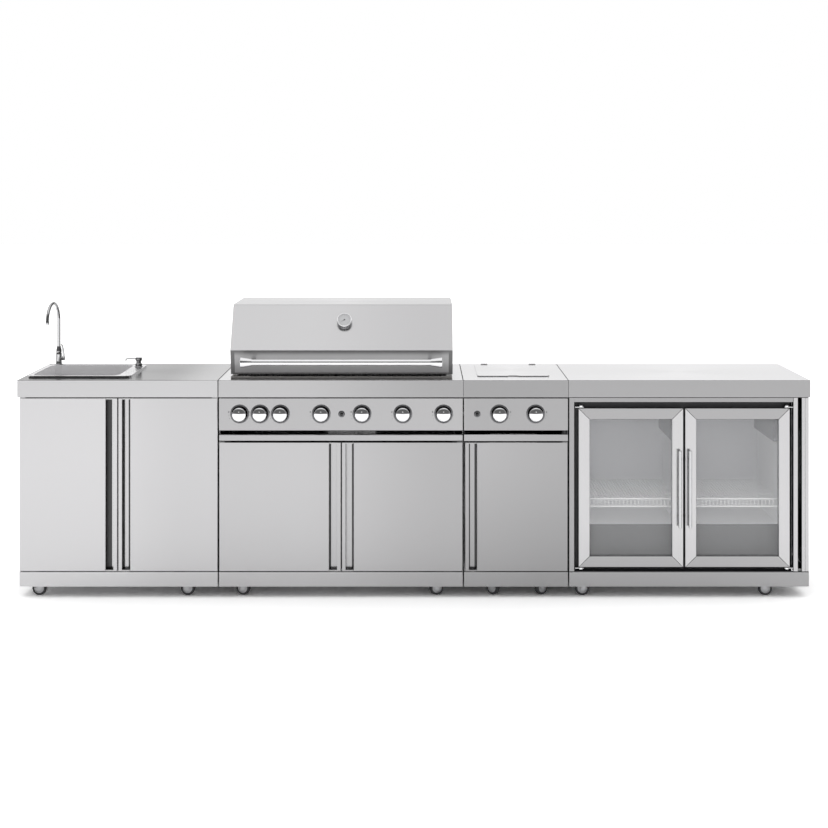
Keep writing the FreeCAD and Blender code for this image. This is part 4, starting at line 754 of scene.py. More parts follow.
class Bench:
    """Makes pieces in their finishes and keeps them for the scene."""

    def __init__(self, frame: Dict) -> None:
        """Set up the materials and the row group.
        """
        self.frame = frame
        self.finishes = Finishes()
        self.rows = row_group()
        self.pieces: List[Piece] = []

    def add(self, obj: Obj, body: str, slot: str, *nodes: str) -> None:
        """Keep a piece for the scene.

        Args:
            obj: The piece.
            body: CAD body.
            slot: Material slot of the record.
            nodes: CAD nodes that it stands for.
        """
        self.pieces.append(Piece(obj, body, slot, nodes))

    def lathe(self, name: str, profile: Sequence[Pair], centre: Sequence[float], axis: Union[Axis, Vector],
              look: Look, segments: int = 48, smooth_angle: float = SMOOTH_ANGLE) -> Obj:
        """Turn a profile about an axis.

        Args:
            name: Object name.
            profile: Radius and offset of each point in millimetres; a solid has radius 0 at both ends.
            centre: Where offset 0 lies on the axis.
            axis: Direction of growing offset.
            look: Its finish.
            segments: Flats round the axis.
            smooth_angle: Edges sharper than this stay sharp.

        Returns:
            The object.
        """
        along = Vector(axis.value) if isinstance(axis, Axis) else axis.normalized()
        turn = Matrix.Translation(centre) @ Vector((0, 0, 1)).rotation_difference(along).to_matrix().to_4x4()
        points: List[Vector] = []
        rings: List[range] = []
        for radius, offset in profile:
            count = segments if radius else 1
            rings.append(range(len(points), len(points) + count))
            for index in range(count):
                angle = 2 * math.pi * index / segments
                spot = Vector((radius * math.cos(angle), radius * math.sin(angle), offset))
                points.append(turn @ (spot * MM))
        faces: List[Sequence[int]] = []
        for low, high in zip(rings, rings[1:]):
            for index in range(segments):
                after = (index + 1) % segments
                corners = dict.fromkeys((low[index % len(low)], low[after % len(low)],
                                         high[after % len(high)], high[index % len(high)]))
                if len(corners) > 2:
                    faces.append(list(corners))
        return mesh_object(name, points, faces, self.finishes.of(look), smooth_angle)

    def prism(self, name: str, outline: Sequence[Pair], span: Pair, place: Point, look: Look,
              edge: float) -> Obj:
        """Push an outline of (x, z) points from one y to another, with softened edges.

        Args:
            name: Object name.
            outline: Points round the face.
            span: Front and back of the piece.
            place: Origin of the outline.
            look: Its finish.
            edge: Width of the softened edge.

        Returns:
            The object.
        """
        points = [Vector(place) + Vector((x, y, z)) for y in span for x, z in outline]
        count = len(outline)
        faces: List[Sequence[int]] = [list(range(count)), list(range(2 * count - 1, count - 1, -1))]
        for index in range(count):
            after = (index + 1) % count
            faces.append([index, index + count, after + count, after])
        return soften(mesh_object(name, points, faces, self.finishes.of(look)), edge)

    def tube(self, name: str, path: Sequence[Vector], radius: float, look: Look, segments: int) -> Obj:
        """Sweep a circle along a path and cap its ends.

        Args:
            name: Object name.
            path: Points of the centreline.
            radius: Tube radius.
            look: Its finish.
            segments: Flats round the tube.

        Returns:
            The object.
        """
        points: List[Vector] = []
        side: Optional[Vector] = None
        last = len(path) - 1
        for index, point in enumerate(path):
            along = (path[min(index + 1, last)] - path[max(index - 1, 0)]).normalized()
            if side is None:
                side = along.orthogonal().normalized()
            side = (side - along * side.dot(along)).normalized()
            up = along.cross(side)
            for step in range(segments):
                angle = 2 * math.pi * step / segments
                points.append(point + side * radius * math.cos(angle) + up * radius * math.sin(angle))
        faces: List[Sequence[int]] = [list(range(segments))]
        for start in range(0, last * segments, segments):
            for step in range(segments):
                after = (step + 1) % segments
                faces.append([start + step, start + after, start + segments + after, start + segments + step])
        faces.append(list(range((last + 1) * segments - 1, last * segments - 1, -1)))
        return mesh_object(name, points, faces, self.finishes.of(look), 40.0)

    def block(self, name: str, low: Point, high: Point, look: Look, edge: float) -> Obj:
        """A bar or plate with softened edges.

        Args:
            name: Object name.
            low: Lowest corner.
            high: Highest corner.
            look: Its finish.
            edge: Width of the softened edge.

        Returns:
            The object.
        """
        points = [Vector((x, y, z)) for x in (low[0], high[0]) for y in (low[1], high[1])
                  for z in (low[2], high[2])]
        faces = [(0, 1, 3, 2), (4, 6, 7, 5), (0, 4, 5, 1), (2, 3, 7, 6), (0, 2, 6, 4), (1, 5, 7, 3)]
        return soften(mesh_object(name, points, faces, self.finishes.of(look)), edge)

    def row(self, template: Obj, count: int, pitch: Point) -> Obj:
        """Repeat a template in a row and bake it.

        Args:
            template: The first piece; it becomes the row.
            count: Number of pieces.
            pitch: Step from one to the next.

        Returns:
            The row as one object.
        """
        values = {"Count": count, "Pitch": pitch, "Material": template.data.materials[0]}
        modifier = template.modifiers.new("row", "NODES")
        modifier.node_group = self.rows
        for item in self.rows.interface.items_tree:
            if item.name in values:
                modifier[item.identifier] = values[item.name]
        bake(template)
        return template

    def sheet(self, node: str, look: Look, width: float, segments: int = 3,
              keep: Test = lambda low, high: True,
              cuts: Sequence[Tuple[int, float]] = ()) -> Obj:
        """Copy a CAD node's mesh, with softened edges.

        Args:
            node: CAD node.
            look: Its finish.
            width: Width of the softened edges; at 0 the faces stay as they are.
            segments: Faces across an edge.
            keep: Test of each separate solid by its lowest and highest corner.
            cuts: Axis index and place of planes at which faces are divided, for paint to follow.

        Returns:
            The copy.
        """
        bm = merged(self.frame["nodes"][node])
        drop = [vertex for island in islands(bm) if not keep(*box_of([vertex.co for vertex in island]))
                for vertex in island]
        bmesh.ops.delete(bm, geom=drop, context="VERTS")
        if width > 0.0:
            bmesh.ops.dissolve_limit(bm, angle_limit=math.radians(0.5), verts=bm.verts, edges=bm.edges)
        drop_inner_faces(bm)
        for axis, place in cuts:
            across = Vector([float(index == axis) for index in range(3)])
            bmesh.ops.bisect_plane(bm, geom=bm.verts[:] + bm.edges[:] + bm.faces[:], dist=WELD,
                                   plane_co=across * place, plane_no=across)
        mesh = bpy.data.meshes.new(node + "_look")
        bm.to_mesh(mesh)
        bm.free()
        mesh.materials.clear()
        mesh.materials.append(self.finishes.of(look))
        obj = show(node + "_look", mesh)
        if width > 0.0:
            shade(obj, 180.0)
            soften(obj, width, segments)
        return obj

    def paint(self, obj: Obj, look: Look, wanted: Test) -> None:
        """Give some faces another finish.

        Args:
            obj: Object to change.
            look: Finish of the chosen faces.
            wanted: Test of a face's middle and normal.
        """
        obj.data.materials.append(self.finishes.of(look))
        index = len(obj.data.materials) - 1
        for polygon in obj.data.polygons:
            if wanted(polygon.center, polygon.normal):
                polygon.material_index = index

    def solids(self, node: str) -> List[Box]:
        """Boxes of a CAD node's separate solids.

        Args:
            node: CAD node.

        Returns:
            Lowest and highest corner of each solid, in order along X.
        """
        bm = merged(self.frame["nodes"][node])
        boxes = [box_of([vertex.co for vertex in island]) for island in islands(bm)]
        bm.free()
        return sorted(boxes, key=lambda box: box[0].x)


# The island's sub-assemblies

@dataclass
class SubAssembly:
    """Some pieces of the island that are made together.

    Attributes:
        bench: Where they are made.
    """

    bench: Bench


@dataclass
class Sheets(SubAssembly):
    """Worktops, cabinets, grease tray, burner lid and control panels, with soft folds."""

    # Width of the painted shadow in the seam, and the least width of a panel; the panels' smaller solids are
    # turned anew
    seam: float = 0.0028
    panel_width: float = 0.2
    lid_fold: float = 0.001
    seamed: Tuple[str, ...] = ("sink_worktop", "grill_worktop", "side_burner_worktop")

    def build(self) -> None:
        """Copy each sheet, with painted light on its top and a painted shadow in its seam."""
        bench = self.bench
        copies = [(node, look, ROOT, "worktop_steel", TOP_FOLD) for node, look in TOPS.items()]
        copies += [(node, look, ROOT, "cabinet_steel", SHEET_FOLD) for node, look in CABINETS.items()]
        copies += [("grease_tray", PANEL, "grease_tray", "panel_steel", SHEET_FOLD),
                   ("side_burner_lid", LIT_TOP_FACE, "side_burner_lid", "worktop_steel", self.lid_fold)]
        for node, look, body, slot, width in copies:
            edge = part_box(node)[1][0] - self.seam
            sink = node == "sink_worktop"
            obj = bench.sheet(node, look, width, cuts=[(0, edge)] if node in self.seamed else [])
            if node in TOPS:
                # Faces that face up get painted light
                face = SINK_LIT_TOP_FACE if sink else LIT_TOP_FACE
                bench.paint(obj, face, lambda centre, normal: normal.z > FACES_UP)
            # Painted shadow at the worktop's right end, in the seam to the next one
            if node in self.seamed:
                bench.paint(obj, SEAM_SHADOW, lambda centre, normal: centre.x > edge
                            and (sink or normal.z > FACES_UP))
            bench.add(obj, body, slot, node)
        panels = bench.sheet("control_panels", PANEL, 0.0,
                             keep=lambda low, high: high.x - low.x > self.panel_width)
        bench.add(panels, ROOT, "panel_steel", "control_panels")


@dataclass
class Hood(SubAssembly):
    """The hood's shell: its band at the foot painted dark as shade and reflection, with painted shade at its
    ends, under a bright slope with painted highlights at its ends.
    """

    # Widths of the painted shade and of the painted highlight at the ends, height of the painted shade at the
    # foot, height of the fold, and the band's and slope's limits
    strip: float = 0.017
    highlight_width: float = 0.014
    foot: float = 0.0075
    fold: float = 1.0345
    front: float = -0.2
    end_plate: float = 0.001
    margin: float = 0.0005
    lean: float = 0.02
    soft: float = 0.0014

    def build(self) -> None:
        """Copy the shell and paint it along cuts."""
        bench = self.bench
        low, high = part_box("hood_shell")
        foot = low[2] + self.foot
        cuts = [(0, place) for inset in (self.strip, self.highlight_width)
                for place in (low[0] + inset, high[0] - inset)]
        shell = bench.sheet("hood_shell", HOOD, self.soft, cuts=cuts + [(2, foot)])

        def ahead(centre: Vector) -> bool:
            """Whether a face is in front, between the end plates."""
            return centre.y < self.front and low[0] + self.end_plate < centre.x < high[0] - self.end_plate

        def beside(centre: Vector, width: float) -> bool:
            """Whether a face is close to one of the ends."""
            return min(centre.x - low[0], high[0] - centre.x) < width

        def band(centre: Vector, normal: Vector) -> bool:
            """Whether a face belongs to the upright band."""
            below = centre.z < self.fold - self.margin
            return ahead(centre) and below and normal.z < self.lean and normal.y < -0.5

        # The upright band gets painted shade and dark reflection
        bench.paint(shell, BAND_SHADE, band)
        bench.paint(shell, HOOD_SHADE, lambda centre, normal: band(centre, normal)
                    and (centre.z < foot or beside(centre, self.strip)))
        # Painted highlights on the slope near its ends
        bench.paint(shell, HOOD_HIGHLIGHT, lambda centre, normal: ahead(centre) and beside(centre, self.highlight_width)
                    and centre.z > self.fold and normal.z > self.lean and normal.y < -0.3)
        bench.add(shell, "hood", "hood_steel", "hood_shell")


# Finish of each cabinet door, and the parts of its channel that get painted shade, from the meeting edge
DOORS = {
    "sink_left_door": (SINK_SIDE, ((0.0275, 0.0505),)),
    "sink_right_door": (SINK_SIDE, ((0.0155, 0.023), (0.0385, 0.0505))),
    "grill_left_door": (GRILL_SIDE, ((0.0425, 0.0505),)),
    "grill_right_door": (GRILL_SIDE, ((0.0415, 0.0505),)),
    "side_burner_door": (BURNER_SIDE, ((0.0155, 0.022), (0.0405, 0.0505))),
}


@dataclass
class CabinetDoors(SubAssembly):
    """Cabinet doors with painted shade in their finger channels."""

    # Depth of the channel's walls from the meeting edge, thickness of the face in front of them, and
    # width of the softened edges
    reach: float = 0.0505
    skin: float = 0.002
    soft: float = 0.001

    def build(self) -> None:
        """Copy each door and paint shade into its channel."""
        for node, (look, shades) in DOORS.items():
            low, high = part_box(node)
            meeting, inward = (high[0], -1.0) if node.endswith("left_door") else (low[0], 1.0)
            cuts = [(0, meeting + inward * limit) for shaded_part in shades for limit in shaded_part]
            door = self.bench.sheet(node, look, self.soft, cuts=cuts)

            def shaded(centre: Vector, normal: Vector) -> bool:
                """Whether a face gets the channel's painted shade.

                Args:
                    centre: Middle of the face.
                    normal: Its normal.

                Returns:
                    Whether it does.
                """
                along = (centre.x - meeting) * inward
                wall = abs(normal.x) > 0.5 and along < self.reach
                inside = any(start < along < end for start, end in shades)
                return centre.y > low[1] + self.skin and (wall or inside)

            self.bench.paint(door, PULL_SHADE, shaded)
            self.bench.add(door, node, "door_steel", node)


@dataclass
class FridgeFront(SubAssembly):
    """Fridge doors of mitred rails with a bar handle, and the cabinet with its hinges."""

    # Hinged edges, size and place of a door, width and depth of its rails, place and length of its pivot
    # pins, and foot, length and distances of its bar
    left_edge: float = 0.6934
    right_edge: float = 1.5812
    wide: float = 0.4394
    tall: float = 0.668
    face: float = -0.301
    foot: float = 0.128
    stile: float = 0.046
    deep: float = 0.038
    pivot: float = 0.010
    pin: float = 0.006
    bar_foot: float = 0.298
    bar_length: float = 0.323
    bar_inset: float = 0.017
    post_inset: float = 0.042
    bar_out: float = 0.026
    pin_length: float = 0.010
    pin_depth: float = 0.020
    cap_depth: float = 0.013
    soft: float = 0.0014
    floor_drop: float = 0.008
    column_gap: float = 0.012
    bracket_size: Pair = (0.05, 0.004)

    def build(self) -> None:
        """Make both doors, then the cabinet."""
        self.door("left", self.left_edge, 1.0)
        self.door("right", self.right_edge, -1.0)
        self.cabinet()

    def door(self, side: str, hinge: float, sign: float) -> None:
        """One door.

        Args:
            side: left or right.
            hinge: Place of the hinged edge.
            sign: Direction from that edge to the other.
        """
        bench, wide, tall, stile = self.bench, self.wide, self.tall, self.stile
        node = f"fridge_{side}_door"
        place = (min(hinge, hinge + sign * wide), self.face, self.foot)
        outlines = [
            (STILE, [(0, 0), (stile, stile), (stile, tall - stile), (0, tall)]),
            (STILE, [(wide, 0), (wide, tall), (wide - stile, tall - stile), (wide - stile, stile)]),
            (RAIL, [(0, 0), (wide, 0), (wide - stile, stile), (stile, stile)]),
            (RAIL, [(0, tall), (stile, tall - stile), (wide - stile, tall - stile), (wide, tall)])]
        pieces = [bench.prism(f"{node}_rail", outline, (0.0, self.deep), place, look, self.soft)
                  for look, outline in outlines]
        for level in (self.foot - self.pin, self.foot + tall + self.pin - self.pin_length):
            spot = (hinge + sign * self.pivot, self.face + self.pin_depth, level)
            pin = rod(3.9, 0, self.pin_length / MM)
            pieces.append(bench.lathe(f"{node}_pin", pin, spot, Axis.Z, BAR, 24))
        x = hinge + sign * (wide - self.bar_inset)
        long = self.bar_length / MM
        bar = [(0, 0), (5.8, 0), (6.9, 1.2), (6.9, long - 1.2), (5.8, long), (0, long)]
        spot = (x, self.face - self.bar_out, self.bar_foot)
        pieces.append(bench.lathe(f"{node}_bar", bar, spot, Axis.Z, DOOR_BAR, 32))
        for level in (self.bar_foot + self.post_inset, self.bar_foot + self.bar_length - self.post_inset):
            spot = (x, self.face, level)
            pieces.append(bench.lathe(f"{node}_post", rod(4.9, -24, 1), spot, Axis.Y, DARK_REFLECTION_CHROME, 24))
        bench.add(join(f"{node}_look", pieces), node, "door_steel", node)

    def cabinet(self) -> None:
        """Cabinet with bright hinge brackets, hinge caps, folded edges and painted shade below the doors."""
        bench = self.bench
        floor = self.foot - self.floor_drop
        wide, tall = self.bracket_size

        def bracket(low: Vector, high: Vector) -> bool:
            """Whether a solid is a hinge bracket."""
            return high.z - low.z < tall and high.x - low.x < wide

        body = bench.sheet("fridge_cabinet", FRIDGE_SIDE, SHEET_FOLD,
                           keep=lambda low, high: not bracket(low, high))
        # Faces that face up below the doors get painted shade
        bench.paint(body, FLANGE_SHADE, lambda centre, normal: normal.z > 0.9 and centre.z < floor)
        bench.paint(body, FRIDGE_COLUMN, lambda centre, normal: centre.x > self.right_edge + self.column_gap
                    and centre.z > floor and normal.y < -0.5)
        pieces = [body, bench.sheet("fridge_cabinet", CHROME, PLATE_FOLD, 2, bracket),
                  bench.block("fridge_end_flange", (1.6452, -0.3045, 0.111), (1.6605, -0.2832, 0.841),
                              FRIDGE_COLUMN, 0.001),
                  # A thin dark plate of painted shade in the gap under the doors
                  bench.block("fridge_floor_shade_plate", (0.656, -0.266, 0.098), (1.595, -0.2645, 0.1142),
                              FLANGE_SHADE, 0.0004)]
        for hinge, sign in ((self.left_edge, 1.0), (self.right_edge, -1.0)):
            for level, turn in ((self.foot - self.pin, -1.0), (self.foot + self.tall + self.pin, 1.0)):
                cap = [(9.5, 0), (9.5, turn * 4), (8, turn * 5.6), (0, turn * 6)]
                spot = (hinge + sign * self.pivot, self.face + self.cap_depth, level)
                pieces.append(bench.lathe("hinge_cap", cap, spot, Axis.Z, CHROME, 32))
        bench.add(join("fridge_cabinet_look", pieces), ROOT, "cabinet_steel", "fridge_cabinet")


@dataclass
class CadPieces(SubAssembly):
    """CAD nodes that keep their own mesh."""

    rim: float = 0.0085
    upright: float = 0.7

    def build(self) -> None:
        """Give each its finish, and the sink's rim its own, with painted shade on its upright faces."""
        looks = {"firebox": BURNT, "burner_tubes": BURNT, "flame_tamers": BURNT, "side_burner": BURNT,
                 "cooking_grates": IRON, "warming_rack": WIRE, "gas_manifold": ALLOY,
                 "fridge_left_glass": GLASS, "fridge_right_glass": GLASS, "sink_bowl": BOWL_SHADE}
        nodes = self.bench.frame["nodes"]
        for node, look in looks.items():
            mesh = nodes[node].data
            mesh.materials.clear()
            mesh.materials.append(self.bench.finishes.of(look))
        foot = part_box("sink_bowl")[1][2] - self.rim
        self.bench.paint(nodes["sink_bowl"], RIM, lambda centre, normal: centre.z > foot)
        # The rim's upright faces, front and rear, get painted shade
        self.bench.paint(nodes["sink_bowl"], RIM_UPRIGHT_SHADE,
                         lambda centre, normal: centre.z > foot and abs(normal.y) > self.upright)


@dataclass
class Knobs(SubAssembly):
    """Domed knobs with a white dot above the middle, their bezels and the marks beside them."""

    # Radius of the dome and of its curve in millimetres; how far cap and dot lie behind the CAD's front,
    # the dot's height above the middle, and each mark's angle and radius
    radius: float = 26.0
    bend: float = 61.5
    gap: float = 0.0003
    dot: Pair = (0.0012, 0.0125)
    face: float = -0.305
    mark_circle: float = 0.0465
    marks: Tuple[Pair, ...] = ((10.0, 2.6), (-8.0, 1.2), (-24.0, 1.2))

    def build(self) -> None:
        """Make each knob, then all marks as one piece."""
        bench, bend = self.bench, self.bend
        reaches = [self.radius * step / 10 for step in range(11)]
        dome = [(reach, bend - math.sqrt(bend ** 2 - reach ** 2)) for reach in reaches]
        cap_profile = dome + [
            (27.2, 6.5), (28.3, 7.8), (29.0, 9.4), (29.3, 11.2), (29.3, 30), (28.6, 32.2), (0, 32.2)]
        marks = []
        names = [f"knob_{index}" for index in range(1, 8)]
        for name in names + ["side_burner_left_knob", "side_burner_right_knob"]:
            centre = middle(name)
            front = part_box(name)[0][1]
            start = (centre.x, front + self.gap, centre.z)
            cap = bench.lathe(name + "_cap", cap_profile, start, Axis.Y, CHROME, 64, 60.0)
            stem = bench.lathe(name + "_stem", rod(2.8, 32, 63), start, Axis.Y, BAR, 16)
            dot = bench.lathe(name + "_dot", [(0, -0.4), (1.8, -0.2), (2.2, 0.4), (0, 0.6)],
                              (centre.x, front + self.dot[0], centre.z + self.dot[1]), Axis.Y, WHITE, 16)
            bench.add(join(name + "_look", [cap, stem, dot]), name, "knob_chrome", name)
            place = (centre.x, self.face, centre.z)
            # Bezel and rim painted dark as the knob's reflection in the panel
            bezel = bench.lathe(name + "_bezel", [
                (6, 0), (6, -1.2), (31, -1.4), (33.5, -3), (36.5, -3.8), (38.6, -3), (38.6, 0), (6, 0)],
                place, Axis.Y, DARK_REFLECTION_CHROME, 64, 60.0)
            rim = bench.lathe(name + "_rim", [
                (38.6, 0), (38.6, -3), (39.4, -2.4), (39.9, -1.2), (39.9, 0), (38.6, 0)],
                place, Axis.Y, RING, 64, 60.0)
            bench.add(join(name + "_bezel", [bezel, rim]), ROOT, "panel_steel")
            side = 1.0 if name.startswith("side") else -1.0
            for turn, size in self.marks:
                angle = math.radians(turn)
                spot = (centre.x + side * self.mark_circle * math.cos(angle), self.face,
                        centre.z + self.mark_circle * math.sin(angle))
                mark = [(size, 0), (size, -0.2), (0, -0.3)]
                marks.append(bench.lathe("panel_mark", mark, spot, Axis.Y, BLACK, 12))
        bench.add(join("panel_marks", marks), ROOT, "panel_steel")


@dataclass
class Igniters(SubAssembly):
    """Igniter buttons in their collars."""

    face: float = -0.305
    gap: float = 0.0002

    def build(self) -> None:
        """Make both buttons."""
        for name in ("igniter_button", "side_igniter_button"):
            centre = middle(name)
            start = (centre.x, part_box(name)[0][1] + self.gap, centre.z)
            cap = self.bench.lathe(name + "_look", [
                (0, 0), (4, 0.2), (5.8, 1.2), (6.4, 3), (6.4, 23.5), (0, 23.5)],
                start, Axis.Y, BLACK, 32, 60.0)
            self.bench.add(cap, name, "button_black", name)
            collar = self.bench.lathe(name + "_collar", [
                (6.9, 0), (6.9, -3.6), (9, -4), (11.5, -3.4), (13.6, -1.2), (13.8, 0)],
                (centre.x, self.face, centre.z), Axis.Y, DARK_REFLECTION_CHROME, 48, 60.0)
            self.bench.add(collar, ROOT, "panel_steel")


@dataclass
class Faucet(SubAssembly):
    """Turned faucet body, swan-neck spout and lever."""

    # Place on the worktop, radius and middle of the arch, radius and turn of the neck, and the lever's place
    spot: Point = (-1.619, 0.300, 0.915)
    arch: float = 0.082
    rise: float = 0.2035
    neck: float = 0.007
    turn: float = -6.0
    lever_level: float = 0.030
    lever_out: float = 0.0148
    steps: int = 40

    def build(self) -> None:
        """Make the three pieces."""
        self.body()
        self.spout()
        self.lever()

    def body(self) -> None:
        """Barrel and the lever's stub."""
        barrel = self.bench.lathe("faucet_barrel", [
            (0, -60), (10, -60), (10.4, -59), (10.4, -0.5), (19.8, 0), (19.9, 1.5), (18.5, 3.6), (15, 5.2),
            (13.4, 8.5), (13.1, 20), (13.1, 48), (12.7, 53.5), (11.4, 56.6), (6.2, 56.9), (6.2, 36), (0, 36)],
            self.spot, Axis.Z, TAP, 64)
        x, y, z = self.spot
        stub = self.bench.lathe("faucet_stub", [
            (0, 6), (9.8, 6), (9.9, 13.6), (9.4, 14.4), (4, 14.5), (4, 26.2), (0, 26.2)],
            (x, y, z + self.lever_level), Axis.X, TAP, 40)
        self.bench.add(join("faucet_body_look", [barrel, stub]), ROOT, "bright_chrome", "faucet_body")

    def spout(self) -> None:
        """Collar, arched neck and tip."""
        collar = self.bench.lathe("spout_collar", [
            (0, 24), (5.8, 24), (5.8, 57.3), (12.1, 57.3), (12.5, 59), (12.5, 62.5), (11.6, 69.5),
            (9.8, 77.5), (8.5, 84.2), (7.8, 85.3), (0, 85.3)], self.spot, Axis.Z, TAP, 48)
        turn = Matrix.Translation(self.spot) @ Matrix.Rotation(math.radians(self.turn), 4, "Z")
        arch, rise = self.arch, self.rise
        path = [Vector((0, 0, 0.080)), Vector((0, 0, 0.14))]
        for step in range(self.steps + 1):
            angle = math.pi * step / self.steps
            path.append(Vector((0, arch * math.cos(angle) - arch, rise + arch * math.sin(angle))))
        path.append(Vector((0, -2 * arch, rise - 0.002)))
        neck = self.bench.tube("spout_neck", [turn @ point for point in path], self.neck, TAP, 32)
        tip = self.bench.lathe("spout_tip", [
            (7.2, 0), (7.7, 1.2), (7.7, 12.5), (7.2, 15.2), (5.6, 15.6), (5.2, 13), (0, 13)],
            turn @ Vector((0, -2 * arch, rise + 0.008)), Vector((0, 0, -1)), TAP, 32)
        self.bench.add(join("faucet_spout_look", [collar, neck, tip]), "faucet_spout", "bright_chrome",
                       "faucet_spout")

    def lever(self) -> None:
        """Hub, blade and black end."""
        x, y, z = self.spot
        pivot = (x + self.lever_out, y, z + self.lever_level)
        hub = self.bench.lathe("lever_hub", [
            (4.3, 0), (8.6, 0), (9.3, 0.8), (9.3, 10), (8.2, 12.8), (5, 13.9), (0, 14)],
            pivot, Axis.X, TAP, 40)
        blade = self.bench.prism("lever_blade", [
            (0.003, 0.006), (0.012, 0.006), (0.0105, 0.020), (0.0085, 0.034), (0.005, 0.050), (0.001, 0.062),
            (-0.004, 0.062), (-0.0015, 0.050), (0.0015, 0.034), (0.0028, 0.020)],
            (-0.0045, 0.0045), pivot, TAP, 0.0018)
        end = self.bench.prism("lever_end", [
            (0.0012, 0.0600), (0.0002, 0.0640), (-0.0042, 0.0640), (-0.0040, 0.0600)],
            (-0.0046, 0.0046), pivot, BLACK, 0.0006)
        self.bench.add(join("faucet_lever_look", [hub, blade, end]), "faucet_lever", "bright_chrome",
                       "faucet_lever")


@dataclass
class Soap(SubAssembly):
    """Soap dispenser and its pump."""

    # Place on the sink's rim, bend and radius of the nozzle
    spot: Point = (-1.230, 0.146, 0.923)
    bend: float = 0.007
    nozzle: float = 0.0026
    steps: int = 8

    def build(self) -> None:
        """Make the bottle and the pump with its bent nozzle."""
        body = self.bench.lathe("soap_body", [
            (0, -150), (19, -150), (19.6, -147), (19.6, -46), (18.5, -43), (9.8, -42), (9.8, -0.3), (18.8, 0),
            (18.9, 1.2), (18, 2.1), (14.9, 2.4), (14.9, 14), (14, 15), (10.9, 15.2), (10.9, 26.5), (10.4, 27),
            (4.2, 27), (4.2, -20), (0, -20)], self.spot, Axis.Z, TAP, 48)
        self.bench.add(body, ROOT, "bright_chrome", "soap_dispenser")
        cap = self.bench.lathe("soap_cap", [
            (0, 39.6), (11.8, 39.6), (11.8, 27.7), (14.6, 27.7), (14.9, 28.3), (14.9, 38.8), (14.1, 40.8),
            (12.2, 41.9), (0, 42)], self.spot, Axis.Z, TAP, 48)
        stem = self.bench.lathe("soap_stem", rod(3.8, -6, 40), self.spot, Axis.Z, BAR, 20)
        path = [Vector((-0.0128, 0, 0.0361)), Vector((-0.030, 0, 0.0363)), Vector((-0.046, 0, 0.0360))]
        for step in range(1, self.steps + 1):
            angle = math.pi / 2 * step / self.steps
            path.append(Vector((-0.0505 - self.bend * math.sin(angle), 0,
                                0.0360 - self.bend * (1 - math.cos(angle)))))
        path.append(Vector((-0.0575, 0, 0.0262)))
        bent = [Vector(self.spot) + point for point in path]
        nozzle = self.bench.tube("soap_nozzle", bent, self.nozzle, TAP, 16)
        self.bench.add(join("soap_pump_look", [cap, stem, nozzle]), "soap_pump", "bright_chrome", "soap_pump")


@dataclass
class Drain(SubAssembly):
    """Strainer flange, basket and waste pipe under the bowl."""

    # Height of the bowl's floor, depth of the cup, and radius and holes of each ring
    level: float = 0.733
    floor: float = 0.0119
    rings: Tuple[Tuple[float, int], ...] = ((0.012, 6), (0.021, 12), (0.030, 18))

    def build(self) -> None:
        """Turn the cup and lay black discs of painted shade on its floor where its holes are."""
        centre = middle("sink_drain")
        cup = self.bench.lathe("drain_cup", [
            (0, -190), (18.8, -190), (19.05, -189.5), (19.05, -47), (42.5, -46), (43.7, -44), (43.7, 0.2),
            (55.5, 0.3), (55.8, 1.2), (53, 2.1), (44, 2), (40.2, -1), (39.2, -11), (37, -11.9), (0, -11.9)],
            (centre.x, centre.y, self.level), Axis.Z, CHROME, 56)
        holes = []
        for ring, count in self.rings:
            for index in range(count):
                angle = 2 * math.pi * index / count
                place = (centre.x + ring * math.cos(angle), centre.y + ring * math.sin(angle),
                         self.level - self.floor)
                # Each hole is a black disc of painted shade
                hole = [(2, 0), (1.9, 0.2), (0, 0.3)]
                holes.append(self.bench.lathe("drain_hole_shade", hole, place, Axis.Z, BLACK, 12))
        self.bench.add(join("sink_drain_look", [cup] + holes), ROOT, "bowl_steel", "sink_drain")


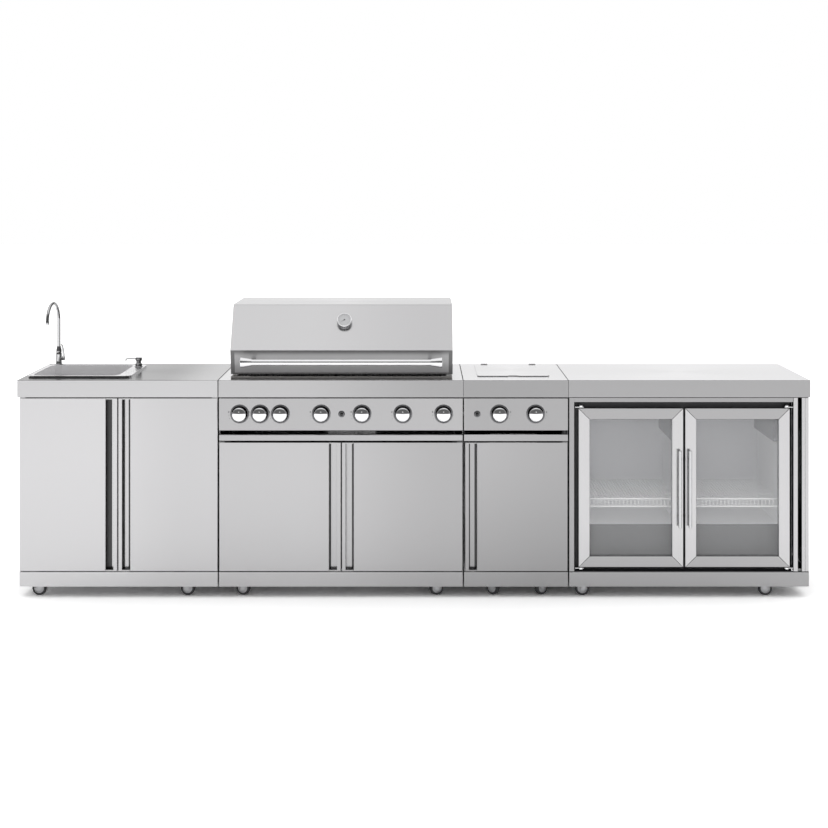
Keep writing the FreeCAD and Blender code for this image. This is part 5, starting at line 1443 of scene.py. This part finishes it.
@dataclass
class Gauge(SubAssembly):
    """Thermometer on the hood's slope: barrel, bezel, dial, marks and needle."""

    # Place of the foot, a point on the slope's lower fold, its run and rise, and the dial's marks
    x: float = -0.297
    level: float = 1.147
    fold: Pair = (-0.246, 1.0345)
    slope: Pair = (0.117, 0.172)
    marks: int = 15
    ring: float = 0.0245
    needle: float = 215.0
    first: float = 225.0
    sweep: float = 270.0
    long_mark: float = 0.0046
    short_mark: float = 0.0030
    long_every: int = 7
    mark_half: float = 0.0004
    mark_lift: float = 0.0219
    needle_lift: float = 0.0222

    def build(self) -> None:
        """Make the gauge square to the slope."""
        bench = self.bench
        run, rise = self.slope
        out = Vector((0.0, -rise, run)).normalized()
        up = Vector((0.0, run, rise)).normalized()
        foot = Vector((self.x, self.fold[0] + (self.level - self.fold[1]) * run / rise, self.level))

        def ray_at(degrees: float) -> Tuple[Vector, Vector]:
            """Direction on the dial, and the one across it.

            Args:
                degrees: Angle on the dial, from the right.

            Returns:
                Both directions.
            """
            angle = math.radians(degrees)
            ray = Vector((1.0, 0.0, 0.0)) * math.cos(angle) + up * math.sin(angle)
            return ray, ray.cross(out)

        barrel = bench.lathe("gauge_barrel", [
            (0, 0), (25.8, 0), (25.8, 13.5), (30, 14.2), (32.2, 15.5), (32.6, 20.5), (31.6, 23.2), (29.6, 24),
            (28.3, 23.6), (27.8, 21.4), (0, 21.4)], foot, out, CHROME, 64, 50.0)
        dial = bench.lathe("gauge_face", [(27.4, 21.4), (27.2, 21.7), (0, 21.7)], foot, out, DIAL, 64)
        black = bench.finishes.of(BLACK)
        marks = []
        for index in range(self.marks):
            ray, across = ray_at(self.first - self.sweep * index / (self.marks - 1))
            inner = self.ring - (self.long_mark if index % self.long_every == 0 else self.short_mark)
            corners = [foot + out * self.mark_lift + ray * reach + across * aside for reach, aside in (
                (inner, -self.mark_half), (self.ring, -self.mark_half), (self.ring, self.mark_half),
                (inner, self.mark_half))]
            marks.append(mesh_object("gauge_mark", corners, [(0, 1, 2, 3)], black))
        ray, across = ray_at(self.needle)
        centre = foot + out * self.needle_lift
        corners = [centre - across * 0.0011 - ray * 0.004, centre + ray * 0.0200,
                   centre + across * 0.0011 - ray * 0.004]
        needle = mesh_object("gauge_needle", corners, [(0, 1, 2)], black)
        boss = bench.lathe("gauge_boss", [(2.8, 0), (2.6, 0.8), (0, 1.1)], centre, out, BLACK, 20)
        bench.add(join("thermometer_look", [barrel, dial, needle, boss] + marks), "hood", "gauge_steel",
                  "thermometer")


@dataclass
class HoodHandle(SubAssembly):
    """The hood's bar handle between its two cones."""

    left: Point = (-0.729, -0.306, 0.989)
    length: float = 0.849

    def build(self) -> None:
        """Make bar, cones and posts."""
        bench, (x, y, z) = self.bench, self.left
        cone = [(0, 0), (20.5, 0), (22.2, 1), (22.6, 3), (22.2, 7.5), (20, 20), (16.8, 38), (16, 45.5),
                (15, 48), (0, 48)]
        pieces = [bench.lathe("handle_bar", rod(13.2, 40, self.length / MM - 40), self.left, Axis.X, BAR),
                  bench.lathe("handle_left_cone", cone, self.left, Axis.X, BAR),
                  bench.lathe("handle_right_cone", cone, (x + self.length, y, z), Vector((-1, 0, 0)), BAR)]
        for post in (x + 0.042, x + self.length - 0.060):
            pieces.append(bench.block("handle_post", (post, -0.298, 0.980), (post + 0.018, -0.2365, 0.998),
                                      BAR, 0.0015))
        bench.add(join("hood_handle_look", pieces), "hood", "handle_steel", "hood_handle")


@dataclass
class Casters(SubAssembly):
    """Front swivel casters and rear rigid casters."""

    fork_foot: float = 0.01

    def wheel(self, name: str, box: Box, axle: Vector) -> Obj:
        """A caster wheel: tyre, and hub with a raised rim and axle ends.

        Args:
            name: Object name.
            box: Corners of the CAD wheel, whose middle is as high as the wheel's radius.
            axle: Direction of its axle.

        Returns:
            The wheel.
        """
        centre = (box[0] + box[1]) / 2
        radius = centre.z / MM
        tyre = [(19.5, -10), (radius - 6, -11), (radius - 2.2, -9.4), (radius, -5)]
        hub = [(0, -10.8), (6.2, -10.8), (6.6, -8), (16.5, -7.6), (17.8, -10.2), (20, -10.2)]
        parts = []
        for half, look, segments, smooth_angle in ((tyre, RUBBER, 40, 50.0), (hub, HUB, 32, 40.0)):
            profile = half + [(reach, -offset) for reach, offset in reversed(half)]
            parts.append(self.bench.lathe(name, profile, centre, axle, look, segments, smooth_angle))
        return join(name, parts)

    def build(self) -> None:
        """Make every caster; its fork keeps the CAD shape."""
        bench = self.bench
        swivels = {joint["child"]: joint["pos_m"] for joint in bench.frame["joints"]
                   if joint["child"].endswith("_caster")}
        for node in sorted(swivels):
            box = min(bench.solids(node), key=lambda solid: solid[0].z)
            centre = (box[0] + box[1]) / 2
            trail = Vector((centre.x - swivels[node][0], centre.y - swivels[node][1], 0.0)).normalized()
            wheel = self.wheel(node + "_wheel_look", box, Vector((-trail.y, trail.x, 0.0)))
            fork = bench.sheet(node, ZINC, PLATE_FOLD, 2, lambda low, high: low.z > self.fork_foot)
            bench.add(join(node + "_look", [fork, wheel]), node, "caster_steel", node)
        wheels = [self.wheel(f"rear_wheel_{index}", box, Vector((1.0, 0.0, 0.0)))
                  for index, box in enumerate(bench.solids("rear_caster_wheels"))]
        bench.add(join("rear_caster_wheels_look", wheels), "rear_caster_wheels", "caster_tyre",
                  "rear_caster_wheels")
        forks = bench.sheet("rear_caster_forks", ZINC, PLATE_FOLD, 2)
        bench.add(forks, ROOT, "caster_steel", "rear_caster_forks")


@dataclass
class FridgeInside(SubAssembly):
    """Dark case and gasket face, pale liner, and wire shelves with their guards."""

    # Sizes of the shelves' wires, rails and lattice; limits by which the case's faces are told apart
    wire: float = 0.0016
    pitch: float = 0.0125
    lattice_pitch: float = 0.016
    lattice_lean: float = 0.008
    crosses: int = 5
    cross_radius: float = 0.0024
    cross_inset: float = 0.010
    wire_inset: float = 0.003
    rail_half: float = 0.003
    rail_depth: float = 0.004
    lattice_radius: float = 0.0015
    lattice_inset: float = 0.002
    lattice_rim: float = 0.005
    facing: float = 0.9
    turned: float = 0.3
    riser_top: float = 0.29
    housing_foot: float = 0.63
    housing_back: float = 0.15
    liner_back: float = 0.1

    def build(self) -> None:
        """Paint the case and make both shelves."""
        self.case()
        middle_x = middle("fridge_shelves").x
        rods: List[Obj] = []
        for index, side in enumerate((-1, 1)):
            own = [corner for box in self.bench.solids("fridge_shelves")
                   if ((box[0].x + box[1].x) / 2 - middle_x) * side > 0 for corner in box]
            rods += self.shelf(f"shelf_{index}", *box_of(own))
        self.bench.add(join("fridge_shelves_look", rods), ROOT, "wire_steel", "fridge_shelves")

    def case(self) -> None:
        """Paint the fridge's case by where each face lies."""
        node = self.bench.frame["nodes"]["fridge_body"]
        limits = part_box("fridge_body")
        node.data.materials.clear()
        looks = (LINER, CASE, HOUSING, BACK_WALL, RISER_SHADE)
        for look in looks:
            node.data.materials.append(self.bench.finishes.of(look))
        for polygon in node.data.polygons:
            centre, normal = polygon.center, polygon.normal
            outer = any(abs(centre[axis] - limit[axis]) < 1e-4 for axis in range(3) for limit in limits)
            # The step's upright front gets painted shade
            riser = centre.z < self.riser_top and normal.y < -self.facing
            turned = normal.z < -self.turned or normal.y < -self.turned or normal.x < -self.facing
            housing = centre.z > self.housing_foot and centre.y < self.housing_back and turned
            rear = normal.y < -self.facing and centre.y > self.liner_back
            look = CASE if outer else RISER_SHADE if riser else HOUSING if housing else BACK_WALL if rear else LINER
            polygon.material_index = looks.index(look)

    def shelf(self, name: str, low: Vector, high: Vector) -> List[Obj]:
        """A wire shelf with a lattice guard at its front.

        Args:
            name: Start of the pieces' names.
            low: Lowest corner.
            high: Highest corner.

        Returns:
            Its pieces.
        """
        bench, wire, lean = self.bench, self.wire, self.lattice_lean
        width, depth, top = high.x - low.x, high.y - low.y, high.z
        count = int(width / self.pitch)
        inset = self.wire_inset
        ends = [Vector((low.x + wire, y, top - wire)) for y in (low.y + inset, high.y - inset)]
        first = bench.tube(name + "_wire", ends, wire, COATED, 8)
        pieces = [bench.row(first, count + 1, ((width - 2 * wire) / count, 0.0, 0.0))]
        ends = [Vector((x, low.y + self.rail_depth, top - 3 * wire)) for x in (low.x, high.x)]
        cross = bench.tube(name + "_cross", ends, self.cross_radius, COATED, 10)
        pitch = (depth - self.cross_inset) / (self.crosses - 1)
        pieces.append(bench.row(cross, self.crosses, (0.0, pitch, 0.0)))
        for level in (top - self.rail_half, low.z + self.rail_half):
            pieces.append(bench.block(name + "_rail", (low.x, low.y, level - self.rail_half),
                                      (high.x, low.y + self.rail_depth, level + self.rail_half),
                                      COATED, PLATE_FOLD))
        bars = int(width / self.lattice_pitch)
        rim, edge = self.lattice_rim, self.lattice_inset
        for start, slant in ((low.x + edge, lean), (low.x + edge + lean, -lean)):
            ends = [Vector((start, low.y + wire, low.z + rim)),
                    Vector((start + slant, low.y + wire, top - rim))]
            bar = bench.tube(name + "_lattice", ends, self.lattice_radius, COATED, 6)
            pieces.append(bench.row(bar, bars, ((width - 2 * edge - lean) / bars, 0.0, 0.0)))
        return pieces


# Studio

@dataclass(frozen=True)
class Shot:
    """The photograph's camera, which looks level along Y.

    Attributes:
        place: Where the camera stands.
        lens: Focal length on a 36 mm sensor.
        shift: Sideways and vertical shift.
    """

    place: Point = (0.0305, -7.506, 1.747)
    lens: float = 74.5
    shift: Pair = (-0.0085, -0.28)

    def build(self) -> None:
        """Place the camera."""
        data = bpy.data.cameras.new("photo_camera")
        data.lens = self.lens
        data.sensor_width = 36.0
        data.shift_x, data.shift_y = self.shift
        data.clip_end = 200.0
        camera = bpy.data.objects.new("photo_camera", data)
        camera.location = self.place
        camera.rotation_euler = (math.radians(90.0), 0.0, 0.0)
        bpy.context.scene.collection.objects.link(camera)
        bpy.context.scene.camera = camera


@dataclass(frozen=True)
class Studio:
    """White studio.

    Attributes:
        dark: How much the zones that metal mirrors are darker than the rest.
        lift: Extra whiteness of the floor as seen, mirrored or looked at through glass.
        floor: Half the floor's side.
        lamp: Place of the lamp.
        lamp_size: Its sides.
        power: Its power in watts.
    """

    dark: float = 0.86
    lift: float = 0.5
    floor: float = 40.0
    lamp: Point = (0.0, -1.0, 5.0)
    lamp_size: Pair = (9.0, 5.0)
    power: float = 14.0

    def build(self) -> None:
        """Make the world, the floor and the lamp."""
        self.world()
        size = self.floor
        corners = [Vector((-size, -size, 0.0)), Vector((size, -size, 0.0)), Vector((size, size, 0.0)),
                   Vector((-size, size, 0.0))]
        floor = mesh_object("floor", corners, [(0, 1, 2, 3)], self.floor_finish())
        data = bpy.data.lights.new("overhead", "AREA")
        data.shape = "RECTANGLE"
        data.size, data.size_y = self.lamp_size
        data.energy = self.power
        lamp = bpy.data.objects.new("overhead", data)
        lamp.location = self.lamp
        bpy.context.scene.collection.objects.link(lamp)

    def world(self) -> None:
        """White all round, with darker zones in front and at the back corners for metal to mirror."""
        world = bpy.data.worlds.new("studio")
        bpy.context.scene.world = world
        world.use_nodes = True
        tree = world.node_tree
        background = tree.nodes["Background"].inputs
        background["Color"].default_value = (1.0, 1.0, 1.0, 1.0)
        way = split(tree, tree.nodes.new("ShaderNodeTexCoord").outputs["Generated"])
        above = ramp(tree, way["Z"], 0.005, 0.05, 0.0, 1.0)
        below = ramp(tree, way["Z"], 0.6, 0.8, 1.0, 0.0)
        front = times(tree, times(tree, above, below), ramp(tree, way["Y"], -0.35, 0.05, 1.0, 0.0))
        aside = math_node(tree, "ABSOLUTE", way["X"])
        flank = times(tree, ramp(tree, aside, 0.3, 0.4, 0.0, 1.0), ramp(tree, aside, 0.75, 0.85, 1.0, 0.0))
        rear = ramp(tree, way["Y"], 0.25, 0.35, 0.0, 1.0)
        behind = times(tree, rear, ramp(tree, way["Z"], 0.4, 0.5, 1.0, 0.0))
        zones = math_node(tree, "MAXIMUM", front, times(tree, flank, behind))
        glossy = tree.nodes.new("ShaderNodeLightPath").outputs["Is Glossy Ray"]
        mirrored = times(tree, times(tree, zones, self.dark), glossy)
        tree.links.new(math_node(tree, "SUBTRACT", 1.0, mirrored), background["Strength"])

    def floor_finish(self) -> Material:
        """Pale floor that looks white to camera, metal and glass, and keeps the shadow.

        Returns:
            The material.
        """
        material, tree, shader = new_material("floor")
        shader.inputs["Base Color"].default_value = (0.96, 0.96, 0.96, 1.0)
        shader.inputs["Roughness"].default_value = 0.8
        shader.inputs["Specular IOR Level"].default_value = 0.1
        path = tree.nodes.new("ShaderNodeLightPath").outputs
        seen = math_node(tree, "MAXIMUM", path["Is Camera Ray"],
                         math_node(tree, "MAXIMUM", path["Is Glossy Ray"], path["Is Transmission Ray"]))
        gain = times(tree, seen, self.lift)
        colour = new_node(tree, "ShaderNodeCombineColor", {"Red": gain, "Green": gain, "Blue": gain})
        lift = new_node(tree, "ShaderNodeBsdfDiffuse", {"Color": colour.outputs[0]})
        both = new_node(tree, "ShaderNodeAddShader", {0: shader.outputs[0], 1: lift.outputs[0]})
        tree.links.new(both.outputs[0], tree.nodes["Material Output"].inputs["Surface"])
        return material


def main() -> None:
    """Load the frame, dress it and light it."""
    logging.basicConfig(level=logging.INFO)
    bpy.ops.wm.read_factory_settings(use_empty=True)
    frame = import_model()
    bench = Bench(frame)
    for kind in (Sheets, Hood, CabinetDoors, FridgeFront, CadPieces, Knobs, Igniters, Faucet, Soap, Drain,
                 Gauge, HoodHandle, Casters, FridgeInside):
        kind(bench).build()
    for piece in bench.pieces:
        piece.settle()
    Studio().build()
    Shot().build()
    bpy.context.scene.view_settings.view_transform = "Standard"


if __name__ == "__main__":
    main()
